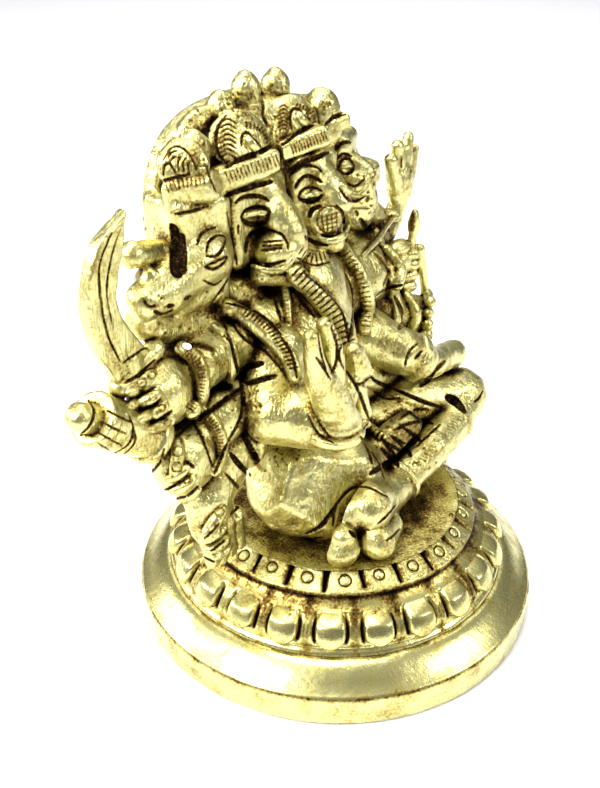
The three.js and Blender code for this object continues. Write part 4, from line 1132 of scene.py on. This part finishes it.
def close_slivers(mesh):
    """Thinning leaves a few faces of no area. They are closed up, and doubled faces and flaps go."""
    work = bmesh.new()
    work.from_mesh(mesh)
    bmesh.ops.dissolve_degenerate(work, dist=SLIVER * MM, edges=work.edges)
    bmesh.ops.triangulate(work, faces=work.faces)
    work.verts.index_update()
    bmesh.ops.delete(work, geom=doubled_faces(work), context="FACES")
    for _ in range(FLAP_ROUNDS):
        flaps = {edge.link_faces[0] for edge in work.edges if len(edge.link_faces) == 1}
        bmesh.ops.delete(work, geom=list(flaps), context="FACES")
    work.to_mesh(mesh)
    work.free()


def set_values(mesh, label, values):
    attribute = mesh.attributes.new(label, "FLOAT", "POINT")
    attribute.data.foreach_set("value", np.asarray(values, np.float32))


def draw_part(name, region, most_triangles):
    """The skin where region is below nothing, thinned to most_triangles, with its faces outwards."""
    tuck = np.clip((region + OVERLAP) / (2 * OVERLAP), 0, 1) * TUCK
    field = np.clip(np.maximum(clay + tuck, region - OVERLAP), -1.0, 1.0)
    field[:, :, 0] = 1.0
    grid = openvdb.FloatGrid(1.0)
    grid.copyFromArray(np.ascontiguousarray(field))
    points, triangles, quads = grid.convertToPolygons(isovalue=0.0, adaptivity=0.0)
    points = points.astype(float) * PITCH + CLAY_LOW
    mesh = bpy.data.meshes.new(name)
    mesh.from_pydata((points * MM).tolist(), [], triangles.tolist() + quads.tolist())
    piece = link(name, mesh)
    drawn = len(triangles) + 2 * len(quads)
    if drawn > most_triangles:
        thin = piece.modifiers.new("thin", "DECIMATE")
        thin.ratio = most_triangles / drawn
        mesh = bake(piece)
        close_slivers(mesh)
    places = np.empty(len(mesh.vertices) * 3, np.float32)
    mesh.vertices.foreach_get("co", places)
    places = places.reshape(-1, 3) / MM
    set_values(mesh, "ink", sample(dark, places))
    set_values(mesh, "patina_and_shade", sample(patina_and_shade, places))
    mesh.shade_smooth()
    print(name, "drawn", drawn, "kept", sum(len(f.vertices) - 2 for f in mesh.polygons))
    return piece


figure_parts = [draw_part(name, *part) for name, part in PARTS.items()]

# %% [markdown]
# ## Brass
# Polished yellow brass is a metal, so its colour is in the reflection. The antique finish is a
# brown-black film that survives only where the polishing mop could not reach, and it thins out in
# specks. Both are one material, because on the real piece they are one skin: the film is worked out
# from the hollows, broken up by noise, and turned into colour and roughness by one ramp. The same
# darkening from the hollows also paints in the shade that falls there, so the film's tones serve as
# painted shade too.

# %% Colours and nodes


def linear(hex_code):
    """An sRGB hex colour as the linear RGBA that a shader wants."""
    parts = [int(hex_code[i : i + 2], 16) / 255 for i in (1, 3, 5)]
    return (*(c / 12.92 if c <= 0.04045 else ((c + 0.055) / 1.055) ** 2.4 for c in parts), 1.0)


def node(tree, kind, settings=None, links=None, **inputs):
    """Adds a node: settings on it, values on its inputs by name or number, links from other sockets."""
    made = tree.nodes.new(kind)
    for key, value in (settings or {}).items():
        setattr(made, key, value)
    for key, value in inputs.items():
        made.inputs[int(key[1:]) if key[1:].isdigit() else key.replace("_", " ")].default_value = value
    for key, source in (links or {}).items():
        tree.links.new(source, made.inputs[key])
    return made


MATH = "ShaderNodeMath"
NOISE = "ShaderNodeTexNoise"
# film colours, which also paint the shade in hollows and crevices
BARE_METAL, DEEPEST_FILM_AND_SHADE = "#d8d18c", "#0b0806"
FILM_AND_SHADE_TONES = ((0.22, "#b8aa60"), (0.5, "#6e5526"), (0.78, "#2a1d0e"))
FILM_ROUGHNESS, COAT_ROUGHNESS = 0.7, 0.16
PATCH_SCALE, SPECK_SCALE, BRUSH_SCALE, GRAIN_SCALE = 330.0, 2600.0, 3200.0, 900.0
SPECK_SHARE, HOLLOW_SHARE, INK_SPECKS, GRAIN_SHARE = 1.3, 1.25, 0.5, 1.6
FILM_AND_SHADE_RANGE, INK_RANGE = (1.0, 2.3), (0.55, 1.2)
LACQUER_ENDS, LACQUER_WEIGHT = 0.4, 0.35
RELIEF_DEPTH = 0.00012


def brass(name, polish, brush, marks_strength):
    """Brass: roughness where polished, how far its brush marks are drawn out, and how deep they are."""
    material = bpy.data.materials.new(name)
    material.use_nodes = True
    tree = material.node_tree
    shader = tree.nodes["Principled BSDF"]
    place = node(tree, "ShaderNodeTexCoord").outputs["Object"]
    ink = node(tree, "ShaderNodeAttribute", {"attribute_name": "ink"}).outputs["Fac"]
    hollow = node(tree, "ShaderNodeAttribute", {"attribute_name": "patina_and_shade"}).outputs["Fac"]

    # patches about 3 mm wide and specks about 0.4 mm wide break the film up, as worn wax does
    patches = node(tree, NOISE, None, {"Vector": place}, Scale=PATCH_SCALE, Detail=4.0).outputs["Fac"]
    specks = node(tree, NOISE, None, {"Vector": place}, Scale=SPECK_SCALE, Detail=3.0).outputs["Fac"]
    both = node(tree, MATH, {"operation": "MULTIPLY_ADD"}, {0: patches, 2: specks}, _1=SPECK_SHARE)
    sum_up = {"operation": "MULTIPLY_ADD"}
    reach = node(tree, MATH, sum_up, {0: hollow, 2: both.outputs[0]}, _1=HOLLOW_SHARE)
    eased = {"interpolation_type": "SMOOTHSTEP"}
    # the film amount: patina in the hollows and painted shade there
    film_and_shade = node(tree, "ShaderNodeMapRange", eased, {"Value": reach.outputs[0]})
    film_and_shade.inputs["From Min"].default_value = FILM_AND_SHADE_RANGE[0]
    film_and_shade.inputs["From Max"].default_value = FILM_AND_SHADE_RANGE[1]
    worn_ink = node(tree, MATH, sum_up, {0: specks, 2: ink}, _1=INK_SPECKS)
    kept_ink = node(tree, "ShaderNodeMapRange", None, {"Value": worn_ink.outputs[0]})
    kept_ink.inputs["From Min"].default_value = INK_RANGE[0]
    kept_ink.inputs["From Max"].default_value = INK_RANGE[1]
    dark_film_and_shade = node(
        tree,
        MATH,
        {"operation": "MAXIMUM", "use_clamp": True},
        {0: film_and_shade.outputs["Result"], 1: kept_ink.outputs["Result"]},
    ).outputs[0]

    # polished metal, then thin lacquer-brown, then the black left at the bottom of a cut; these tones
    # also paint the shade in hollows, under the right knee and under two headbands
    tone = node(tree, "ShaderNodeValToRGB", None, {"Fac": dark_film_and_shade})
    ramp = tone.color_ramp
    ramp.elements[0].color = linear(BARE_METAL)
    ramp.elements[1].color = linear(DEEPEST_FILM_AND_SHADE)
    for position, colour in FILM_AND_SHADE_TONES:
        ramp.elements.new(position).color = linear(colour)
    tree.links.new(tone.outputs["Color"], shader.inputs["Base Color"])
    shader.inputs["Metallic"].default_value = 1.0
    rough = node(tree, "ShaderNodeMapRange", None, {"Value": dark_film_and_shade})
    rough.inputs["To Min"].default_value = polish
    rough.inputs["To Max"].default_value = FILM_ROUGHNESS
    tree.links.new(rough.outputs["Result"], shader.inputs["Roughness"])

    # clear lacquer on the bare metal gives white glints over the yellow ones
    lacquer = node(tree, "ShaderNodeMapRange", None, {"Value": dark_film_and_shade})
    lacquer.inputs["From Max"].default_value = LACQUER_ENDS
    lacquer.inputs["To Min"].default_value = LACQUER_WEIGHT
    lacquer.inputs["To Max"].default_value = 0.0
    tree.links.new(lacquer.outputs["Result"], shader.inputs["Coat Weight"])
    shader.inputs["Coat Roughness"].default_value = COAT_ROUGHNESS

    # brush marks about 0.3 mm apart, drawn out along one way, and a cast grain of about 1 mm
    along = node(tree, "ShaderNodeMapping", None, {"Vector": place})
    along.inputs["Scale"].default_value = brush
    brushed = node(tree, NOISE, None, {"Vector": along.outputs["Vector"]}, Scale=BRUSH_SCALE, Detail=2.0)
    grain = node(tree, NOISE, None, {"Vector": place}, Scale=GRAIN_SCALE, Detail=6.0).outputs["Fac"]
    both_marks = {0: grain, 2: brushed.outputs["Fac"]}
    relief = node(tree, MATH, sum_up, both_marks, _1=GRAIN_SHARE)
    bump = node(tree, "ShaderNodeBump", None, {"Height": relief.outputs[0]})
    bump.inputs["Strength"].default_value = marks_strength
    bump.inputs["Distance"].default_value = RELIEF_DEPTH
    tree.links.new(bump.outputs["Normal"], shader.inputs["Normal"])
    return material


figure_brass = brass("cast_brass_engraved", 0.3, (1.0, 1.0, 0.18), 1.0)
plinth_brass = brass("cast_brass_polished", 0.27, (1.0, 0.35, 0.35), 0.22)
for piece in figure_parts:
    piece.data.materials.append(figure_brass)
    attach(piece, "root")
    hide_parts("figure")
print("finishes", figure_brass.name, plinth_brass.name)

# %% [markdown]
# ## Seat rim and lotus petals
# The seat rim repeats a bar and a ring, and the plinth repeats a petal between two grooves. One share
# of each ring is modelled as a patch whose outer side is pushed in and out. Geometry Nodes stand the
# copies round the centre and weld them, so a change to one petal changes them all, and a little
# noise afterwards makes them differ as hand work does.

# %% One share of a ring
SHARES = 24
SHARES_IN_COPY = 3
COPIES = SHARES // SHARES_IN_COPY


def ring_share(name, outer, inner, steps, start, carve):
    """A closed section swept through three shares, its outer side moved by carve, alike at both ends."""
    outer = np.asarray(outer, float)
    run = np.concatenate([[0], np.cumsum(np.linalg.norm(np.diff(outer, axis=0), axis=1))])
    slope = np.gradient(outer, axis=0)
    slope /= np.linalg.norm(slope, axis=1)[:, None]
    normal = np.stack([slope[:, 1], -slope[:, 0]], axis=1)
    half = math.pi / SHARES
    steps *= SHARES_IN_COPY
    turn = np.linspace(-half, (2 * SHARES_IN_COPY - 1) * half, steps + 1)
    number = np.clip(((turn + half) / (2 * half)).astype(int), 0, SHARES_IN_COPY - 1)
    across, along = np.meshgrid(turn - 2 * half * number, run, indexing="ij")
    width = across * outer[None, :, 0]
    height, ink, film_and_shade = carve(width, along, half * outer[None, :, 0], number[:, None])
    for values in (height, ink, film_and_shade):
        values[-1] = values[0]
    radius = outer[None, :, 0] + normal[None, :, 0] * height
    level = outer[None, :, 1] + normal[None, :, 1] * height
    inner = np.broadcast_to(np.asarray(inner, float), (steps + 1, len(inner), 2))
    radius = np.concatenate([radius, inner[..., 0]], axis=1)
    level = np.concatenate([level, inner[..., 1]], axis=1)
    pad = np.zeros((steps + 1, inner.shape[1]))
    ink, film_and_shade = np.concatenate([ink, pad], axis=1), np.concatenate([film_and_shade, pad + 0.6], axis=1)
    angle = turn[:, None] + start
    points = np.stack([radius * np.cos(angle), radius * np.sin(angle), level], axis=-1)
    ring = points.shape[1]
    faces = []
    for i in range(steps):
        for j in range(ring):
            k = (j + 1) % ring
            if max(radius[i, j], radius[i, k]) < 1e-6:
                continue
            faces.append((i * ring + j, (i + 1) * ring + j, (i + 1) * ring + k, i * ring + k))
    mesh = bpy.data.meshes.new(name)
    mesh.from_pydata((points.reshape(-1, 3) * MM).tolist(), [], faces)
    set_values(mesh, "ink", ink.ravel())
    set_values(mesh, "patina_and_shade", film_and_shade.ravel())
    return mesh


def section(marks, gaps):
    """Points along a smooth profile, closer together where it is carved."""
    line = smooth_line(marks, 24)
    run = np.concatenate([[0], np.cumsum(np.linalg.norm(np.diff(line, axis=0), axis=1))])
    gap_places, gap_sizes = zip(*gaps)
    places = [0.0]
    while places[-1] < run[-1]:
        places.append(places[-1] + float(np.interp(places[-1], gap_places, gap_sizes)))
    places[-1] = run[-1]
    return np.stack([np.interp(places, run, line[:, i]) for i in range(2)], axis=1)


def ridge(value, centre, width):
    return np.exp(-(((value - centre) / width) ** 2))


def window_between(value, low, high, soft):
    return np.clip((value - low) / soft, 0, 1) * np.clip((high - value) / soft, 0, 1)


print("shares in a ring", SHARES)

# %% Copies round the centre
SOCKETS = {
    "Copies": ("NodeSocketInt", COPIES),
    "Weld": ("NodeSocketFloat", 0.000001),
    "Unevenness": ("NodeSocketFloat", 0.00012),
    "Unevenness Scale": ("NodeSocketFloat", 170.0),
    "Finish": ("NodeSocketMaterial", None),
}


def round_tree():
    tree = bpy.data.node_groups.new("copies_round_the_centre", "GeometryNodeTree")
    face = tree.interface
    face.new_socket("Geometry", in_out="INPUT", socket_type="NodeSocketGeometry")
    face.new_socket("Geometry", in_out="OUTPUT", socket_type="NodeSocketGeometry")
    for label, (kind, _) in SOCKETS.items():
        face.new_socket(label, in_out="INPUT", socket_type=kind)
    given = node(tree, "NodeGroupInput").outputs
    points = node(tree, "GeometryNodePoints", None, {"Count": given["Copies"]})
    number = node(tree, "GeometryNodeInputIndex").outputs[0]
    share = node(tree, MATH, {"operation": "DIVIDE"}, {0: number, 1: given["Copies"]})
    angle = node(tree, MATH, {"operation": "MULTIPLY"}, {0: share.outputs[0]}, _1=2 * math.pi)
    turn = node(tree, "ShaderNodeCombineXYZ", None, {"Z": angle.outputs[0]})
    placed = node(
        tree,
        "GeometryNodeInstanceOnPoints",
        None,
        {"Points": points.outputs[0], "Instance": given["Geometry"], "Rotation": turn.outputs[0]},
    )
    real = node(tree, "GeometryNodeRealizeInstances", None, {"Geometry": placed.outputs[0]})
    weld = {"Geometry": real.outputs[0], "Distance": given["Weld"]}
    welded = node(tree, "GeometryNodeMergeByDistance", None, weld)
    scale = {"Scale": given["Unevenness Scale"]}
    noise = node(tree, NOISE, {"noise_dimensions": "3D"}, scale, Detail=1.0)
    middle = node(tree, "ShaderNodeVectorMath", {"operation": "SUBTRACT"}, {0: noise.outputs["Color"]})
    middle.inputs[1].default_value = (0.5, 0.5, 0.5)
    small = node(tree, "ShaderNodeVectorMath", {"operation": "SCALE"}, {0: middle.outputs[0]})
    tree.links.new(given["Unevenness"], small.inputs["Scale"])
    move = {"Geometry": welded.outputs[0], "Offset": small.outputs[0]}
    moved = node(tree, "GeometryNodeSetPosition", None, move)
    coat = {"Geometry": moved.outputs[0], "Material": given["Finish"]}
    coated = node(tree, "GeometryNodeSetMaterial", None, coat)
    node(tree, "NodeGroupOutput", None, {"Geometry": coated.outputs[0]})
    return tree


ROUND_TREE = round_tree()


def round_piece(name, mesh, replaces, slot_name, finish, **values):
    piece = link(name, mesh)
    modifier = piece.modifiers.new("copies", "NODES")
    modifier.node_group = ROUND_TREE
    values = {**{label: value for label, (_, value) in SOCKETS.items()}, **values, "Finish": finish}
    for item in ROUND_TREE.interface.items_tree:
        if item.in_out == "INPUT" and item.name in values:
            modifier[item.identifier] = values[item.name]
    made = bake(piece)
    made.shade_smooth()
    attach(piece, "root")
    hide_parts(replaces)
    print(name, "triangles", sum(len(f.vertices) - 2 for f in made.polygons))
    return piece


# %% Seat disc
SEAT_MARKS = [(22.9, 15.1), (22.95, 15.4), (22.75, 15.75), (21.0, 16.75)]
SEAT_MARKS += [(19.5, 17.55), (18.6, 17.66), (0, 17.62)]
seat_outer = section(SEAT_MARKS, [(0, 0.16), (5.4, 0.16), (7, 0.5), (12, 1.2)])
BAR_ANGLE = math.radians(-147.9)
BAR_ENDS = np.array([(0.7, 4.6), (1.2, 4.3), (0.9, 4.75)])
BAR_WIDTH = np.array([0.46, 0.36, 0.42])
BAR_LEAN = np.array([0.06, -0.09, 0.02])
RING_PLACE = np.array([(0.12, 2.6), (-0.16, 2.95), (0.05, 2.75)])
RING_RADIUS = np.array([0.9, 0.8, 0.86])
BAR_DEPTH, GROOVE_DEPTH, DOME_HEIGHT = 0.75, 0.24, 0.08
GROOVE_WIDTH, DOME_RADIUS = 0.17, 0.75
BEVEL_RUN = (0.75, 4.7)


def carve_seat(width, along, half, number):
    bevel = window_between(along, *BEVEL_RUN, 0.25)
    bar_at = -half / 2 + BAR_LEAN[number] * (along - 2.7)
    wedge = BAR_WIDTH[number] * (0.75 + 0.12 * along)
    ends = window_between(along, BAR_ENDS[number, 0], BAR_ENDS[number, 1], 0.3)
    bar = np.clip((wedge - np.abs(width - bar_at)) / 0.2, 0, 1) * ends
    ring = np.hypot(width - half / 2 - RING_PLACE[number, 0], along - RING_PLACE[number, 1])
    groove = ridge(ring, RING_RADIUS[number], GROOVE_WIDTH)
    dome = np.clip(1 - (ring / DOME_RADIUS) ** 2, 0, 1)
    height = -BAR_DEPTH * bar - GROOVE_DEPTH * groove + DOME_HEIGHT * dome * bevel
    ink = np.clip(1.25 * bar + 0.95 * groove, 0, 1)
    # film at the rim, along the bars and round the bevel, and darker towards the middle where the figure
    # shades the seat: patina and painted shade
    film_and_shade = 0.1 + 0.35 * ridge(along, 0.2, 0.4) + 0.3 * ridge(width, bar_at, 0.7) * bevel
    film_and_shade = film_and_shade + 0.2 * ridge(along, 4.9, 0.5) + 0.22 * np.clip((along - 5.6) / 2, 0, 1)
    film_and_shade = film_and_shade + 0.2 * np.clip((along - 8) / 5, 0, 1)
    return height, ink, np.clip(film_and_shade, 0, 1)


seat_start = BAR_ANGLE + math.pi / SHARES / 2
seat = ring_share("seat_disc", seat_outer, [(0, 15.1)], 36, seat_start, carve_seat)
round_piece("seat_disc", seat, "figure", "brass_figure", figure_brass)

# %% Lotus petals
PETAL_ANGLE = math.radians(-145.2)
PETAL_MARKS = [(27.9, 7.9), (27.6, 8.5), (27.1, 9.0), (27.2, 9.9), (27.0, 11.0)]
PETAL_MARKS += [(26.2, 12.3), (25.0, 13.4), (23.9, 14.1), (23.2, 14.7), (22.9, 15.2)]
petal_outer = section(PETAL_MARKS, [(0, 0.16), (10, 0.16)])
PETAL_SHIFT = np.array([0.0, 0.1, -0.12])
PETAL_LOW = np.array([0.0, 0.16, -0.12])
PETAL_FOOT, PETAL_TOP, PETAL_HALF = 1.7, 7.0, 2.0
CUSHION_STEP, CUSHION_DOME, CUSHION_HALF = 0.2, 0.75, 2.45
SIDE_GROOVE, BETWEEN_GROOVE, LIP_GROOVE = 0.6, 0.3, 0.4


def carve_petals(width, along, half, number):
    side = np.abs(width - PETAL_SHIFT[number])
    lower = PETAL_FOOT + PETAL_LOW[number] + 1.1 * (side / 2.1) ** 2
    upper = np.clip((PETAL_TOP - along) / 2.2, 0, 1)
    edge = PETAL_HALF + 0.42 * np.sin(np.pi * np.clip((along - 1.2) / 5.6, 0, 1))
    inside = np.clip((edge - 0.1 - side) / 0.25, 0, 1) * np.clip((along - lower) / 0.3, 0, 1)
    dome = np.sqrt(np.clip(1 - (side / CUSHION_HALF) ** 2, 0, 1))
    cushion = inside * (CUSHION_STEP + CUSHION_DOME * dome) * upper
    grooves = ridge(side, edge + 0.05, 0.27) * np.clip((along - 1.9) / 0.6, 0, 1) * np.sqrt(upper)
    between = 0.6 * ridge(side, half - 0.25, 0.16) * window_between(along, 2.6, 5.2, 0.8)
    lip = ridge(along, lower - 0.1, 0.2) * np.clip((2.2 - side) / 0.5, 0, 1)
    height = cushion - SIDE_GROOVE * grooves - BETWEEN_GROOVE * between - LIP_GROOVE * lip
    ink = np.clip(1.3 * grooves + between + 1.2 * lip + 0.8 * ridge(along, 0.2, 0.12), 0, 1)
    # film darker up towards the neck under the seat rim and where petals meet
    film_and_shade = 0.16 * np.clip((along - 5.2) / 1.6, 0, 1) + 0.1 * np.clip((along - 7.4) / 1.0, 0, 1)
    film_and_shade = film_and_shade + 0.3 * ridge(side, half, 0.8) + 0.35 * ridge(along, 9.2, 0.4)
    return height, ink, np.clip(film_and_shade, 0, 1)


petals = ring_share("plinth_petals", petal_outer, [(20, 15.2), (20, 7.9)], 40, PETAL_ANGLE, carve_petals)
round_piece("plinth_petals", petals, "plinth", "brass_plinth", plinth_brass)

# %% Plinth foot
FOOT_MARKS = [(32.4, 0.0), (32.85, 0.15), (33.0, 0.6), (33.0, 2.4), (33.0, 4.2)]
FOOT_MARKS += [(32.8, 4.9), (32.3, 5.25), (31.4, 5.9), (30.2, 6.9), (29.2, 7.6)]
FOOT_MARKS += [(28.4, 7.95), (27.7, 8.0), (20.5, 8.0)]
foot_outer = section(FOOT_MARKS, [(0, 0.2), (10, 0.35), (14, 1.4)])


def carve_foot(width, along, half, number):
    height = -0.06 * ridge(along, 5.15, 0.16)
    film_and_shade = 0.3 * ridge(along, 11.6, 0.5) + 0.35 * ridge(along, 5.15, 0.25)
    ink = 0.5 * ridge(along, 11.9, 0.14)
    return height + 0 * width, ink + 0 * width, film_and_shade + 0 * width


foot = ring_share("plinth_foot", foot_outer, [(0, 8.0), (0, 0.0)], 16, 0.0, carve_foot)
round_piece("plinth_foot", foot, "plinth", "brass_plinth", plinth_brass, Unevenness=0.00016)

# %% [markdown]
# ## Floor and light
# The photograph has a white sweep and soft light from several sides. A metal shows its surroundings,
# so the sky is kept darker than the lamps and the floor: the greys between them draw the forms.

# %% Floor and light
FLOOR_HALF = 6.0
FLOOR_DROP = 0.0002
floor_mesh = bpy.data.meshes.new("floor")
corners = [(-1, -1, 0), (1, -1, 0), (1, 1, 0), (-1, 1, 0)]
floor_mesh.from_pydata([tuple(FLOOR_HALF * c for c in corner) for corner in corners], [], [(0, 1, 2, 3)])
floor = link("floor", floor_mesh)
floor.location.z = -FLOOR_DROP
paper = bpy.data.materials.new("pale_paper")
paper.use_nodes = True
paper.node_tree.nodes["Principled BSDF"].inputs["Base Color"].default_value = linear("#f8f8fa")
paper.node_tree.nodes["Principled BSDF"].inputs["Roughness"].default_value = 0.9
floor_mesh.materials.append(paper)


def soft_box(name, place, aim, size, power):
    data = bpy.data.lights.new(name, "AREA")
    data.shape = "RECTANGLE"
    data.size, data.size_y = size
    data.energy = power
    lamp = bpy.data.objects.new(name, data)
    bpy.context.scene.collection.objects.link(lamp)
    lamp.location = place
    lamp.rotation_mode = "QUATERNION"
    lamp.rotation_quaternion = (Vector(aim) - Vector(place)).to_track_quat("-Z", "Y")


AIM = (-0.002, 0.0, 0.045)
SWEEP_AIM = (0.62, 0.5, 0.0)
LAMPS = [
    ("key", (-0.42, 0.10, 0.40), AIM, (0.22, 0.22), 3.2),
    ("fill", (0.16, -0.46, 0.34), AIM, (0.18, 0.18), 1.5),
    ("top", (-0.05, 0.02, 0.62), AIM, (0.26, 0.26), 2.0),
    ("side", (-0.286, 0.408, 0.25), AIM, (0.24, 0.2), 1.8),
    ("sweep", (0.60, 0.48, 1.0), SWEEP_AIM, (1.1, 1.1), 9.0),
]
for lamp_row in LAMPS:
    soft_box(*lamp_row)
world = bpy.data.worlds.new("studio")
world.use_nodes = True
sky_tree = world.node_tree
sky = sky_tree.nodes["Background"]
way = node(sky_tree, "ShaderNodeTexCoord").outputs["Generated"]
height_of = node(sky_tree, "ShaderNodeSeparateXYZ", None, {"Vector": way}).outputs["Z"]
shade = node(sky_tree, "ShaderNodeValToRGB", None, {"Fac": height_of})
shade.color_ramp.elements[0].color = linear("#6e6d68")
shade.color_ramp.elements[1].color = linear("#f4f5f7")
sky_tree.links.new(shade.outputs["Color"], sky.inputs["Color"])
sky.inputs["Strength"].default_value = 0.5
bpy.context.scene.world = world
bpy.context.scene.view_settings.view_transform = "Standard"
print("lamps", len(bpy.data.lights))
